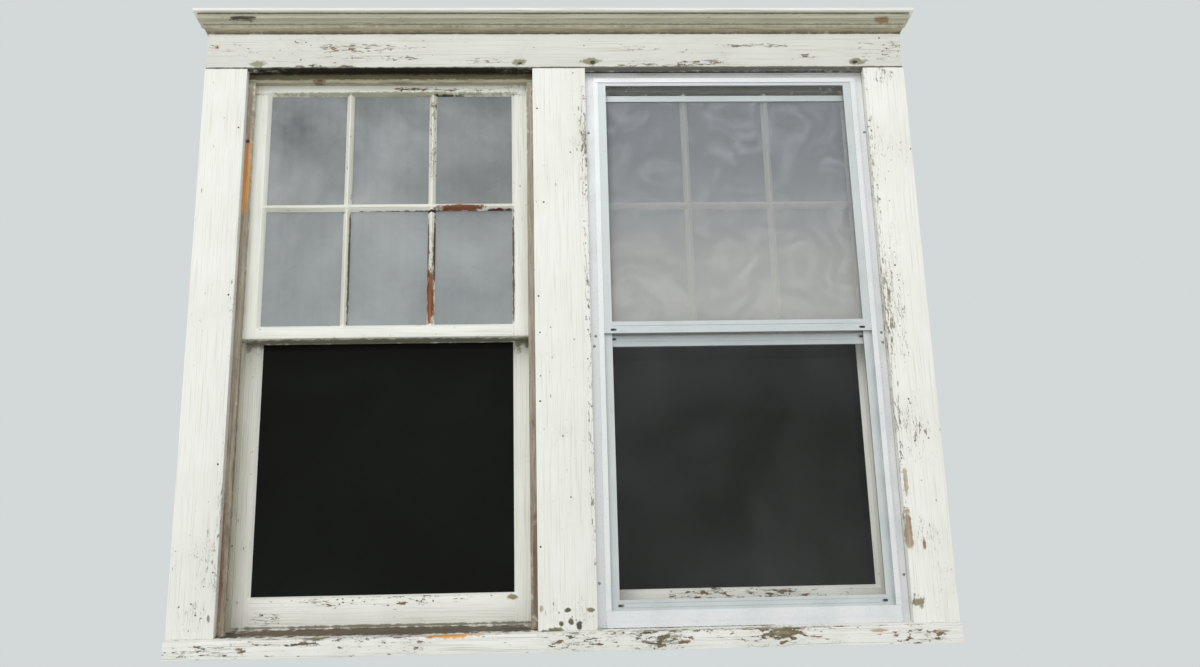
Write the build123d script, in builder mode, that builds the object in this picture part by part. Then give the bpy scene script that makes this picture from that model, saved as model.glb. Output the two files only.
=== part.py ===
"""Twin double-hung sash window in one frame, with a combination storm window on its right unit.

Millimetres. X runs along the wall, Y from the street side (negative) into the room, Z is up.
The origin lies on the mullion's centre line, in the wall plane behind the casings, and at the
height of the sill's front lower edge.
"""

import math
import os

from build123d import *

os.makedirs("parts", exist_ok=True)

# Openings
opening_width = 762.0
opening_height = 1477.0
mullion_width = 153.0
meeting_height = 768.0

# Frame boards
stile_thickness = 20.0
head_thickness = 20.0
dado_depth = 6.0
blind_thickness = 19.0
blind_proud = 12.7
head_blind_drop = 24.0
bead_thickness = 12.7
bead_proud = 12.7
bead_groove = 6.3
inner_stop_depth = 29.3
inner_stop_proud = 12.7
inner_stop_round = 6.0
weight_box = 80.0

# Casings and head
casing_width = 114.0
casing_thickness = 28.0
casing_reveal = 4.5
head_reveal = 5.0
head_casing_height = 155.0
head_casing_set_in = 3.0
crown_height = 50.0
crown_projection = 26.0
drip_cap_thickness = 9.5
drip_cap_projection = 37.0
drip_cap_rise = 6.0
drip_cap_chamfer = 2.0
crown_quirk = 2.0

# Sill
sill_front = 43.0
sill_slope = 14.0
sill_nose = 25.0
drip_kerf = 5.0
drip_kerf_in = 15.0

# Sashes
sash_thickness = 35.0
sash_side_play = 1.5
channel_play = 0.5
sash_stile = 52.5
top_rail = 51.5
bottom_rail = 81.0
meeting_rail = 36.0
meeting_bevel = 8.0
meeting_gap = 0.6
sash_seat_gap = 0.4
muntin = 21.0
putty_width = 9.0
putty_depth = 12.0
ovolo = 8.0
ovolo_steps = 4
glass_thickness = 3.0
glass_bite = 6.0
glass_play = 0.5
tenon_thickness = 11.0
tenon_length = 36.0
tenon_inset = 7.0
lip_side_play = 2.0
lip_setback = 1.7
blank_foot = 20.0

# Cords, pulleys and weights
cord = 6.0
cord_play = 0.3
groove_flare = 0.5
cord_inset = 6.0
cord_plough = 13.0
plough_depth = 12.0
knot = 10.0
knot_shift = 2.0
knot_play = 1.5
knot_pocket = 15.0
knot_pocket_depth = 16.0
knot_drop = 230.0
pulley_drop = 110.0
wheel_radius = 25.0
wheel_rim = 27.0
wheel_width = 10.0
wheel_web = 6.0
wheel_hub = 9.0
wheel_play = 0.5
rim_wall = 2.0
pin = 6.0
pin_play = 0.05
plate_height = 115.0
plate_width = 28.0
plate_thickness = 3.0
cheek = 2.5
cheek_margin = 1.0
mortise_margin = 4.0
weight_diameter = 38.0
weight_chamfer = 4.0
weight_head_radius = 8.55
weight_shoulder_radius = 20.9
upper_weight_length = 430.0
lower_weight_length = 398.0
upper_weight_top = 560.0
lower_weight_top = 1380.0
weight_eye = 32.0
eye_cover = 12.0
eye_play = 1.0
pocket_length = 400.0
pocket_bottom = 160.0
pocket_play = 0.3
pocket_margin = 2.0

# Sash lock and lifts
lock_length = 64.0
lock_depth = 22.0
lock_plate = 3.0
lock_post = 8.0
lock_cap = 12.8
lock_cap_height = 2.5
lock_cap_round = 2.0
lock_set_back = 3.0
cam_hub = 26.0
cam_height = 9.0
cam_tongue = 27.0
cam_lever = 36.0
tongue_start = 55.0
tongue_sweep = 50.0
cam_round = 4.0
cam_foot = 1.0
tongue_thickness = 4.0
lever_width = 9.0
lever_thickness = 5.0
knob_height = 12.0
keeper_gap = 5.0
keeper_height = 14.0
keeper_depth = 15.0
keeper_wall = 3.0
keeper_hook = 10.0
keeper_inset = 5.0
keeper_hook_inset = 12.0
lift_width = 38.0
lift_height = 44.0
lift_reach = 22.0
lift_metal = 3.0
lift_bend = 8.0
lift_lip = 20.0
lift_foot = 22.0
lift_spacing = 360.0

# Storm window of the right unit
storm_metal = 1.5
storm_track = 7.0
storm_fin = 12.0
storm_flange = 22.0
storm_flange_inset = 3.5
storm_outset = 10.0
storm_header_fin = 5.0
storm_header_step = 6.0
storm_play = 0.3
storm_member_play = 0.2
storm_flange_gap = 3.0
storm_leg_gap = 5.0
storm_sill_top = 95.0
storm_sill_band = 22.0
expander_depth = 7.5
expander_metal = 1.0
expander_top_gap = 6.0
panel_thickness = 6.4
panel_side_play = 1.0
panel_seat_gap = 0.5
panel_groove = 1.0
panel_stile = 32.0
panel_height = 728.0
panel_meeting_rail = 31.0
panel_bottom_rail = 26.5
panel_top_rail = 19.0
screen_height = 718.0
screen_stile = 25.0
screen_bottom_rail = 29.0
screen_top_rail = 17.0
screen_bottom = 769.0
storm_upper_bottom = 801.0
storm_upper_groove = 19.0
storm_upper_latch_height = 9.0
storm_lower_grooves = (7.0, 18.0)
storm_lower_latch_height = 12.5
screen_groove = 12.0
screen_latch_height = 20.0
storm_glass = 2.4
storm_glass_bite = 5.0
mesh_thickness = 0.8
latch_length = 38.0
latch_height = 8.0
latch_thickness = 2.4
latch_play = 0.3
latch_travel = 6.0
latch_tab = 1.5
latch_tab_width = 9.0
latch_tab_height = 6.0
latch_tab_inset = 5.0
latch_reach = 0.5

# How far a cut runs past the face that it opens
overcut = 1.0

# Places that follow from the sizes
half_opening = opening_width / 2
unit_x = (mullion_width + opening_width) / 2
y_face = -casing_thickness
y_nose = y_face - sill_nose
y_outer_channel = blind_thickness
y_bead = y_outer_channel + sash_thickness + 2 * channel_play
y_inner_channel = y_bead + bead_thickness
y_inner_stop = y_inner_channel + sash_thickness + 2 * channel_play
y_back = y_inner_stop + inner_stop_depth
y_upper = y_outer_channel + channel_play
y_lower = y_inner_channel + channel_play
slope = math.tan(math.radians(sill_slope))


def sill_top(y):
    """Height of the sill's weathered top at a depth y."""
    return sill_front + (y - y_nose) * slope


z_seat = sill_top(y_lower)
z_head = z_seat + opening_height
z_meet = z_seat + meeting_height
z_casing = z_head + head_reveal
z_crown_top = z_casing + head_casing_height
z_crown_foot = z_crown_top - crown_height
z_pulley = z_head - pulley_drop
casing_end = unit_x + half_opening + casing_reveal + casing_width
head_end = casing_end - head_casing_set_in
box_end = unit_x + half_opening + weight_box
wheel_inset = wheel_radius - cord_inset
weight_inset = wheel_inset + wheel_radius
units = (("left", -unit_x), ("right", unit_x))
sides = (-1, 1)


def inside(centre, side, inset):
    """X of a point inset from the jamb face of a unit towards the unit's middle."""
    return centre + side * (half_opening - inset)


def along_x(outline, x_first, x_second):
    """A board of a Y-Z outline that runs along X."""
    low, high = sorted((x_first, x_second))
    with BuildPart() as board:
        with BuildSketch(Plane.YZ.offset(low)):
            with BuildLine():
                Polyline(*outline, close=True)
            make_face()
        extrude(amount=high - low)
    return board.part


def block(x_pair, y_pair, z_pair):
    """A plain block between three pairs of limits."""
    low, high = sorted(x_pair)
    with BuildPart() as piece:
        with Locations((low, y_pair[0], z_pair[0])):
            Box(high - low, y_pair[1] - y_pair[0], z_pair[1] - z_pair[0], align=(Align.MIN,) * 3)
    return piece.part


def facing_room(x, y, z):
    """Plane parallel to the wall, its normal pointing into the room and its X along the wall."""
    return Plane(origin=(x, y, z), x_dir=(1, 0, 0), z_dir=(0, 1, 0))


def upright(x_pair, y_first, y_second, top):
    """A board that stands on the sill's slope."""
    outline = (
        (y_first, sill_top(y_first)),
        (y_second, sill_top(y_second)),
        (y_second, top),
        (y_first, top),
    )
    return along_x(outline, *x_pair)


def write(name, solids):
    """One file for a node of separate solids, which may lie face to face."""
    node = Compound(label=name, children=list(solids))
    export_step(node, f"parts/{name}.step")


def write_part(name, part):
    """One file for a node of one solid."""
    part.label = name
    export_step(part, f"parts/{name}.step")


# Sill: sloped top and underside, drip kerf under the nose, horns outside the weight boxes
with BuildPart() as sill:
    with BuildSketch(Plane.YZ.offset(-head_end)):
        with BuildLine():
            Polyline(
                (y_nose, 0),
                (0, -y_nose * slope),
                (0, sill_top(0)),
                (y_nose, sill_front),
                close=True,
            )
        make_face()
        with Locations((y_nose + drip_kerf_in, drip_kerf_in * slope)):
            Circle(drip_kerf / 2, mode=Mode.SUBTRACT)
    extrude(amount=2 * head_end)
    with BuildSketch(Plane.YZ.offset(-box_end)):
        with BuildLine():
            Polyline(
                (0, -y_nose * slope),
                (y_back, sill_top(y_back) - sill_front),
                (y_back, sill_top(y_back)),
                (0, sill_top(0)),
                close=True,
            )
        make_face()
    extrude(amount=2 * box_end)
write_part("sill", sill.part)

# Head jamb: one board over both units, housed over the pulley stiles and grooved for the beads
with BuildPart() as head_jamb:
    add(
        block(
            (-box_end, box_end),
            (y_outer_channel, y_back),
            (z_head, z_head + head_thickness),
        )
    )
    for _, centre in units:
        for side in sides:
            add(
                block(
                    (inside(centre, side, 0), inside(centre, side, -stile_thickness)),
                    (y_outer_channel, y_back),
                    (z_head, z_head + dado_depth),
                ),
                mode=Mode.SUBTRACT,
            )
        add(
            block(
                (centre - half_opening, centre + half_opening),
                (y_bead, y_inner_channel),
                (z_head, z_head + bead_groove),
            ),
            mode=Mode.SUBTRACT,
        )
write_part("head_jamb", head_jamb.part)

# Pulley stiles: bead groove, a pulley mortise over each channel and the pocket to the weights
case_half = wheel_width / 2 + wheel_play
mortise_half = case_half + cheek + wheel_play
pocket_front = y_inner_channel + pocket_margin
pocket_back = y_inner_stop - pocket_margin
channel_centres = (y_upper + sash_thickness / 2, y_lower + sash_thickness / 2)


def face_plane(centre, side, y, z):
    """Plane on a jamb face, its normal pointing out of the opening and its Y upwards."""
    return Plane(
        origin=(inside(centre, side, 0), y, z),
        x_dir=(0, side, 0),
        z_dir=(side, 0, 0),
    )


def pulley_stile(centre, side):
    """One upright jamb board."""
    with BuildPart() as stile:
        add(
            upright(
                (inside(centre, side, 0), inside(centre, side, -stile_thickness)),
                y_outer_channel,
                y_back,
                z_head + dado_depth,
            )
        )
        add(
            block(
                (inside(centre, side, 0), inside(centre, side, -bead_groove)),
                (y_bead, y_inner_channel),
                (0, z_head),
            ),
            mode=Mode.SUBTRACT,
        )
        for y in channel_centres:
            with BuildSketch(face_plane(centre, side, y, z_pulley)):
                SlotOverall(plate_height, plate_width, rotation=90)
            extrude(amount=plate_thickness, mode=Mode.SUBTRACT)
            with BuildSketch(face_plane(centre, side, y, z_pulley)):
                Rectangle(2 * mortise_half, 2 * (wheel_rim + mortise_margin))
            extrude(amount=stile_thickness, mode=Mode.SUBTRACT)
        add(
            block(
                (inside(centre, side, 0), inside(centre, side, -stile_thickness)),
                (pocket_front, pocket_back),
                (pocket_bottom, pocket_bottom + pocket_length),
            ),
            mode=Mode.SUBTRACT,
        )
    return stile.part


write("pulley_stiles", [pulley_stile(centre, side) for _, centre in units for side in sides])

# Pocket covers: loose pieces of the stile that close the way to the weights
pocket_covers = [
    block(
        (inside(centre, side, 0), inside(centre, side, -stile_thickness)),
        (pocket_front + pocket_play, pocket_back - pocket_play),
        (pocket_bottom + pocket_play, pocket_bottom + pocket_length - pocket_play),
    )
    for _, centre in units
    for side in sides
]
write("pocket_covers", pocket_covers)

# Casings: two at the sides and one on the mullion, their feet cut to the sill's slope
side_casings = []
for side in sides:
    edge = side * (casing_end - casing_width)
    side_casings.append(upright((edge, side * casing_end), y_face, 0, z_casing))
write("side_casings", side_casings)
mullion_half = mullion_width / 2 - casing_reveal
write_part("mullion_casing", upright((-mullion_half, mullion_half), y_face, 0, z_casing))
head_casing = block((-head_end, head_end), (y_face, 0), (z_casing, z_crown_top))
write_part("head_casing", head_casing)


# Crown: a bed moulding planted on the head casing, mitred at both ends
def crown_outline():
    """Outline of the crown: projection from its back against height, as shares of its sizes."""
    step = crown_projection * 0.45
    quirk = step - crown_quirk
    foot = crown_projection * 0.14
    with BuildLine() as outline:
        Line((0, 0), (foot, 0))
        Line((foot, 0), (foot, crown_height * 0.1))
        RadiusArc((foot, crown_height * 0.1), (quirk, crown_height * 0.3), -crown_height * 0.2)
        Line((quirk, crown_height * 0.3), (step, crown_height * 0.34))
        Line((step, crown_height * 0.34), (step, crown_height * 0.4))
        RadiusArc(
            (step, crown_height * 0.4),
            (crown_projection, crown_height * 0.66),
            crown_height * 0.42,
        )
        Line((crown_projection, crown_height * 0.66), (crown_projection, crown_height))
        Line((crown_projection, crown_height), (0, crown_height))
        Line((0, crown_height), (0, 0))
    return outline.line


def crown_piece(plane, length, cuts):
    """One length of crown moulding, cut by its mitre planes."""
    with BuildPart() as piece:
        with BuildSketch(plane):
            add(crown_outline())
            make_face()
        extrude(amount=length)
        for cut in cuts:
            split(bisect_by=cut, keep=Keep.TOP)
    return piece.part


crown_reach = head_end + crown_projection
left_mitre = Plane(origin=(-head_end, y_face, z_crown_foot), z_dir=(1, -1, 0))
right_mitre = Plane(origin=(head_end, y_face, z_crown_foot), z_dir=(-1, -1, 0))
front_plane = Plane(origin=(crown_reach, y_face, z_crown_foot), x_dir=(0, -1, 0), z_dir=(-1, 0, 0))
crown = [crown_piece(front_plane, 2 * crown_reach, (left_mitre, right_mitre))]
for side, mitre in ((-1, left_mitre), (1, right_mitre)):
    end_plane = Plane(
        origin=(side * head_end, 0 if side > 0 else y_face - crown_projection, z_crown_foot),
        x_dir=(side, 0, 0),
        z_dir=(0, -side, 0),
    )
    opposite = Plane(origin=mitre.origin, z_dir=-mitre.z_dir)
    crown.append(crown_piece(end_plane, casing_thickness + crown_projection, (opposite,)))
write("crown_moulding", crown)

# Drip cap: a thin board on the crown, weathered to the street
y_drip = y_face - drip_cap_projection
drip_outline = (
    (y_drip, z_crown_top),
    (0, z_crown_top),
    (0, z_crown_top + drip_cap_thickness + drip_cap_rise),
    (y_drip + drip_cap_chamfer, z_crown_top + drip_cap_thickness),
    (y_drip, z_crown_top + drip_cap_thickness - drip_cap_chamfer),
)
drip_end = head_end + drip_cap_projection
write_part("drip_cap", along_x(drip_outline, -drip_end, drip_end))

# Blind stops, parting beads and inner stops of both units, the uprights under the heads
blind_stops = []
parting_beads = []
inner_stops = []
z_blind = z_head - head_blind_drop
z_bead_head = z_head - bead_proud
z_stop_head = z_head - inner_stop_proud
half_frame = half_opening + stile_thickness


def rounded_stop(x_pair, top):
    """An upright inner stop with its room-side edge towards the opening rounded."""
    with BuildPart() as stop:
        add(upright(x_pair, y_inner_stop, y_back, top))
        edge = stop.edges().filter_by(Axis.Z).sort_by(Axis.Y)[-2:].sort_by_distance(
            (x_pair[1], y_back, top)
        )[0]
        fillet(edge, radius=inner_stop_round)
    return stop.part


for _, centre in units:
    for side in sides:
        blind_x = (inside(centre, side, -stile_thickness), inside(centre, side, blind_proud))
        blind_stops.append(upright(blind_x, 0, blind_thickness, z_blind))
        bead_x = (inside(centre, side, -bead_groove), inside(centre, side, bead_proud))
        parting_beads.append(upright(bead_x, y_bead, y_inner_channel, z_bead_head))
        stop_x = (inside(centre, side, 0), inside(centre, side, inner_stop_proud))
        inner_stops.append(rounded_stop(stop_x, z_stop_head))
    blind_stops.append(
        block(
            (centre - half_frame, centre + half_frame),
            (0, blind_thickness),
            (z_blind, z_head + head_thickness),
        )
    )
    opening_x = (centre - half_opening, centre + half_opening)
    parting_beads.append(
        block(opening_x, (y_bead, y_inner_channel), (z_bead_head, z_head + bead_groove))
    )
    with BuildPart() as head_stop:
        add(block(opening_x, (y_inner_stop, y_back), (z_stop_head, z_head)))
        low_edge = head_stop.edges().filter_by(Axis.X).group_by(Axis.Z)[0].sort_by(Axis.Y)[-1]
        fillet(low_edge, radius=inner_stop_round)
    inner_stops.append(head_stop.part)
write("blind_stops", blind_stops)
write("parting_beads", parting_beads)
write("inner_stops", inner_stops)


# Pulleys: a cast case with its axle pin, let into the stile, and a grooved wheel
def pulley_case(centre, side, y):
    """Face plate, two cheeks and slot of one pulley case, as one casting."""
    slot_half = math.sqrt((wheel_radius + cord) ** 2 - (wheel_inset - plate_thickness) ** 2)
    cheek_foot = wheel_rim - cheek_margin
    boss = wheel_hub + cheek_margin
    with BuildPart() as case:
        with BuildSketch(face_plane(centre, side, y, z_pulley)):
            SlotOverall(plate_height, plate_width, rotation=90)
            Rectangle(2 * case_half, 2 * slot_half, mode=Mode.SUBTRACT)
        extrude(amount=plate_thickness)
        for turn in sides:
            start = y + case_half if turn > 0 else y - case_half - cheek
            cheek_plane = Plane(
                origin=(inside(centre, side, 0), start, z_pulley),
                x_dir=(side, 0, 0),
                z_dir=(0, 1, 0),
            )
            with BuildSketch(cheek_plane):
                with BuildLine():
                    Polyline(
                        (plate_thickness, -cheek_foot),
                        (plate_thickness, cheek_foot),
                        (wheel_inset, boss),
                        (wheel_inset, -boss),
                        close=True,
                    )
                make_face()
                with Locations((wheel_inset, 0)):
                    Circle(boss)
                    Circle(pin / 2, mode=Mode.SUBTRACT)
            extrude(amount=cheek)
    return case.part


def pulley_pin(centre, side, y):
    """Axle pin through both cheeks."""
    half = case_half + cheek
    with BuildPart() as axle:
        with BuildSketch(facing_room(inside(centre, side, -wheel_inset), y - half, z_pulley)):
            Circle(pin / 2)
        extrude(amount=2 * half)
    return axle.part


def pulley_wheel(centre, side, y):
    """Cast wheel with a hub, a thinner web and a rim grooved for the cord."""
    origin = (inside(centre, side, -wheel_inset), y, z_pulley)
    bore = pin / 2 + pin_play
    groove = cord / 2 + cord_play
    web_end = wheel_radius - cord / 2 - rim_wall
    with BuildPart() as wheel:
        with BuildSketch(Plane(origin=origin, z_dir=(0, 0, 1))):
            with BuildLine():
                Polyline(
                    (bore, -wheel_width / 2),
                    (wheel_hub, -wheel_width / 2),
                    (wheel_hub, -wheel_web / 2),
                    (web_end, -wheel_web / 2),
                    (web_end, -wheel_width / 2),
                    (wheel_rim, -wheel_width / 2),
                    (wheel_rim, wheel_width / 2),
                    (web_end, wheel_width / 2),
                    (web_end, wheel_web / 2),
                    (wheel_hub, wheel_web / 2),
                    (wheel_hub, wheel_width / 2),
                    (bore, wheel_width / 2),
                    close=True,
                )
            make_face()
            with Locations((wheel_radius, 0)):
                Circle(groove, mode=Mode.SUBTRACT)
            with BuildLine():
                Polyline(
                    (wheel_radius, -groove),
                    (wheel_rim + overcut, -groove - groove_flare),
                    (wheel_rim + overcut, groove + groove_flare),
                    (wheel_radius, groove),
                    close=True,
                )
            make_face(mode=Mode.SUBTRACT)
        revolve(axis=Axis(origin, (0, 1, 0)))
    return wheel.part


pulley_cases = []
sash_names = ("upper", "lower")
for unit, centre in units:
    for sash, y in zip(sash_names, channel_centres):
        for side, hand in zip(sides, ("left", "right")):
            pulley_cases.append(pulley_case(centre, side, y))
            pulley_cases.append(pulley_pin(centre, side, y))
            name = f"{unit}_{sash}_{hand}_pulley"
            write_part(name, pulley_wheel(centre, side, y))
write("pulley_cases", pulley_cases)

# Sash cords and weights: one cord and one weight at each side of each sash
eye_depth = weight_eye / 2 + eye_cover


def sash_cord(centre, side, y, z_knot, z_weight):
    """Cord from the knot in the sash's edge over the wheel to the knot in the weight."""
    x_sash = inside(centre, side, cord_inset)
    x_wheel = inside(centre, side, -wheel_inset)
    x_weight = inside(centre, side, -weight_inset)
    with BuildPart() as rope:
        with BuildLine():
            Line((x_sash, y, z_knot), (x_sash, y, z_pulley))
            ThreePointArc(
                (x_sash, y, z_pulley),
                (x_wheel, y, z_pulley + wheel_radius),
                (x_weight, y, z_pulley),
            )
            Line((x_weight, y, z_pulley), (x_weight, y, z_weight))
        with BuildSketch(Plane(origin=(x_sash, y, z_knot), z_dir=(0, 0, 1))):
            Circle(cord / 2)
        sweep()
        with Locations((inside(centre, side, cord_inset + knot_shift), y, z_knot)):
            Sphere(knot / 2)
        with Locations((x_weight, y, z_weight)):
            Sphere(knot / 2)
    return rope.part


def sash_weight(centre, side, y, top, length):
    """Cast iron weight with a round shoulder, a hole down its head and a pocket for the knot."""
    x = inside(centre, side, -weight_inset)
    radius = weight_diameter / 2
    with BuildPart() as weight:
        with BuildSketch(Plane(origin=(x, y, top), x_dir=(1, 0, 0), z_dir=(0, -1, 0))):
            with BuildLine():
                Polyline(
                    (0, -length),
                    (radius - weight_chamfer, -length),
                    (radius, weight_chamfer - length),
                    (radius, -radius),
                )
                RadiusArc((radius, -radius), (weight_head_radius, 0), -weight_shoulder_radius)
                Polyline((weight_head_radius, 0), (0, 0), (0, -length))
            make_face()
        revolve(axis=Axis((x, y, top), (0, 0, 1)))
        with BuildSketch(Plane(origin=(x, y, top), z_dir=(0, 0, -1))):
            Circle(cord / 2 + eye_play)
        extrude(amount=eye_depth, mode=Mode.SUBTRACT)
        with BuildSketch(Plane(origin=(x, y, top - eye_depth), x_dir=(0, 1, 0), z_dir=(1, 0, 0))):
            SlotOverall(weight_eye, knot + 2 * knot_play, rotation=90)
        extrude(amount=radius + overcut, mode=Mode.SUBTRACT)
        with Locations((x, y, top - eye_depth)):
            Sphere(knot / 2 + knot_play, mode=Mode.SUBTRACT)
    return weight.part


for unit, centre in units:
    for sash, y in zip(sash_names, channel_centres):
        top = upper_weight_top if sash == "upper" else lower_weight_top
        length = upper_weight_length if sash == "upper" else lower_weight_length
        z_sash_top = z_head - sash_seat_gap if sash == "upper" else z_meet
        cords = [
            sash_cord(centre, side, y, z_sash_top - knot_drop, top - eye_depth) for side in sides
        ]
        write(f"{unit}_{sash}_cords", cords)
        weights = [sash_weight(centre, side, y, top, length) for side in sides]
        write(f"{unit}_{sash}_weights", weights)


# Sashes: a blank with its lights cut out is sawn into stiles, rails and muntins
def light_void(x_pair, z_pair, y_out):
    """Space of one light: putty bevel outside, groove for the pane, sight hole."""
    width = x_pair[1] - x_pair[0]
    height = z_pair[1] - z_pair[0]
    middle = ((x_pair[0] + x_pair[1]) / 2, (z_pair[0] + z_pair[1]) / 2)
    y_pane = y_out + putty_depth
    with BuildPart() as void:
        with BuildSketch(facing_room(middle[0], y_out, middle[1])):
            Rectangle(width + 2 * putty_width, height + 2 * putty_width)
        with BuildSketch(facing_room(middle[0], y_pane, middle[1])):
            Rectangle(width, height)
        loft(ruled=True)
        with BuildSketch(facing_room(middle[0], y_pane, middle[1])):
            Rectangle(width, height)
        extrude(amount=sash_thickness - putty_depth)
        with BuildSketch(facing_room(middle[0], y_pane, middle[1])):
            Rectangle(width + 2 * glass_bite, height + 2 * glass_bite)
        extrude(amount=glass_thickness)
        for step in range(ovolo_steps):
            for turn in (step, step + 1):
                angle = math.pi / 2 * turn / ovolo_steps
                y_step = y_out + sash_thickness - ovolo * (1 - math.sin(angle))
                flare = ovolo * (1 - math.cos(angle))
                with BuildSketch(facing_room(middle[0], y_step, middle[1])):
                    Rectangle(width + 2 * flare, height + 2 * flare)
            loft(ruled=True)
    return void.part


def pane(x_pair, z_pair, y_out):
    """One pane in its groove."""
    bite = glass_bite - glass_play
    y_pane = y_out + putty_depth
    return block(
        (x_pair[0] - bite, x_pair[1] + bite),
        (y_pane, y_pane + glass_thickness),
        (z_pair[0] - bite, z_pair[1] + bite),
    )


def sash_blank(centre, y_out, bottom, top, lights, knot_height):
    """The whole sash in one piece: lights, inner moulding and the ploughs for the cords."""
    half = half_opening - sash_side_play
    with BuildPart() as blank:
        add(block((centre - half, centre + half), (y_out, y_out + sash_thickness), (bottom, top)))
        for x_pair, z_pair in lights:
            add(light_void(x_pair, z_pair, y_out), mode=Mode.SUBTRACT)
        y_mid = y_out + sash_thickness / 2
        for side in sides:
            edge_x = centre + side * half
            bottom_x = edge_x - side * plough_depth
            add(
                block(
                    (edge_x, bottom_x),
                    (y_mid - cord_plough / 2, y_mid + cord_plough / 2),
                    (knot_height, top),
                ),
                mode=Mode.SUBTRACT,
            )
            with BuildSketch(Plane(origin=(edge_x, y_mid, knot_height), z_dir=(-side, 0, 0))):
                Circle(knot_pocket / 2)
            extrude(amount=knot_pocket_depth, mode=Mode.SUBTRACT)
    return blank.part


def sawn(blank, x_pair, z_pair):
    """The piece of a sash blank between two pairs of limits."""
    with BuildPart() as member:
        add(blank)
        add(block(x_pair, (y_upper - overcut, y_back), z_pair), mode=Mode.INTERSECT)
    return member.part


def tenon(centre, side, y_out, z_pair):
    """Stub tenon of a rail inside a stile."""
    start = centre + side * (half_opening - sash_side_play - sash_stile)
    y_mid = y_out + putty_depth + glass_thickness + tenon_thickness / 2
    return block(
        (start, start + side * tenon_length),
        (y_mid - tenon_thickness / 2, y_mid + tenon_thickness / 2),
        (z_pair[0] + tenon_inset, z_pair[1] - tenon_inset),
    )


def sash_members(blank, centre, y_out, bottom, top, rails):
    """Two stiles and two rails; a rail gives its limits, its tenons' limits and what it carries."""
    half = half_opening - sash_side_play
    sight = half - sash_stile
    members = []
    for side in sides:
        with BuildPart() as stile:
            add(sawn(blank, (centre + side * half, centre + side * sight), (bottom, top)))
            for _, tenon_pair, _ in rails:
                add(tenon(centre, side, y_out, tenon_pair), mode=Mode.SUBTRACT)
        members.append(stile.part)
    for z_pair, tenon_pair, extras in rails:
        with BuildPart() as rail:
            add(sawn(blank, (centre - sight, centre + sight), z_pair))
            for side in sides:
                add(tenon(centre, side, y_out, tenon_pair))
            for extra in extras:
                add(extra)
        members.append(rail.part)
    return members


half_sight = half_opening - sash_side_play - sash_stile
lip_half = half_opening - bead_proud - lip_side_play
lip_low = y_inner_channel - meeting_gap / 2 - lip_setback
upper_bottom = z_meet - meeting_rail
upper_top = z_head - sash_seat_gap
upper_sight = (z_meet, upper_top - top_rail)
light_width = (2 * half_sight - 2 * muntin) / 3
light_height = (upper_sight[1] - upper_sight[0] - muntin) / 2


def upper_lights(centre):
    """Six equal lights of an upper sash."""
    lights = []
    for column in range(3):
        left = centre - half_sight + column * (light_width + muntin)
        for row in range(2):
            low = upper_sight[0] + row * (light_height + muntin)
            lights.append(((left, left + light_width), (low, low + light_height)))
    return lights


for unit, centre in units:
    lights = upper_lights(centre)
    blank = sash_blank(centre, y_upper, upper_bottom, upper_top, lights, upper_top - knot_drop)
    y_inside = y_upper + sash_thickness
    lip = along_x(
        (
            (y_inside, upper_bottom),
            (lip_low, upper_bottom),
            (lip_low - meeting_bevel, z_meet),
            (y_inside, z_meet),
        ),
        centre - lip_half,
        centre + lip_half,
    )
    flat_top = block(
        (centre - half_sight, centre + half_sight),
        (y_inside - ovolo, y_inside),
        (z_meet - ovolo, z_meet),
    )
    meeting_pair = (upper_bottom, z_meet)
    top_pair = (upper_sight[1], upper_top)
    rails = ((meeting_pair, meeting_pair, (lip, flat_top)), (top_pair, top_pair, ()))
    members = sash_members(blank, centre, y_upper, upper_bottom, upper_top, rails)
    write(f"{unit}_upper_sash", members)
    bars = []
    low_of_bar = upper_sight[0] + light_height
    bars.append(
        sawn(blank, (centre - half_sight, centre + half_sight), (low_of_bar, low_of_bar + muntin))
    )
    for column in (1, 2):
        left = centre - half_sight + column * light_width + (column - 1) * muntin
        for low in (upper_sight[0], low_of_bar + muntin):
            bars.append(sawn(blank, (left, left + muntin), (low, low + light_height)))
    write(f"{unit}_upper_muntins", bars)
    write(f"{unit}_upper_panes", [pane(x_pair, z_pair, y_upper) for x_pair, z_pair in lights])

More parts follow.
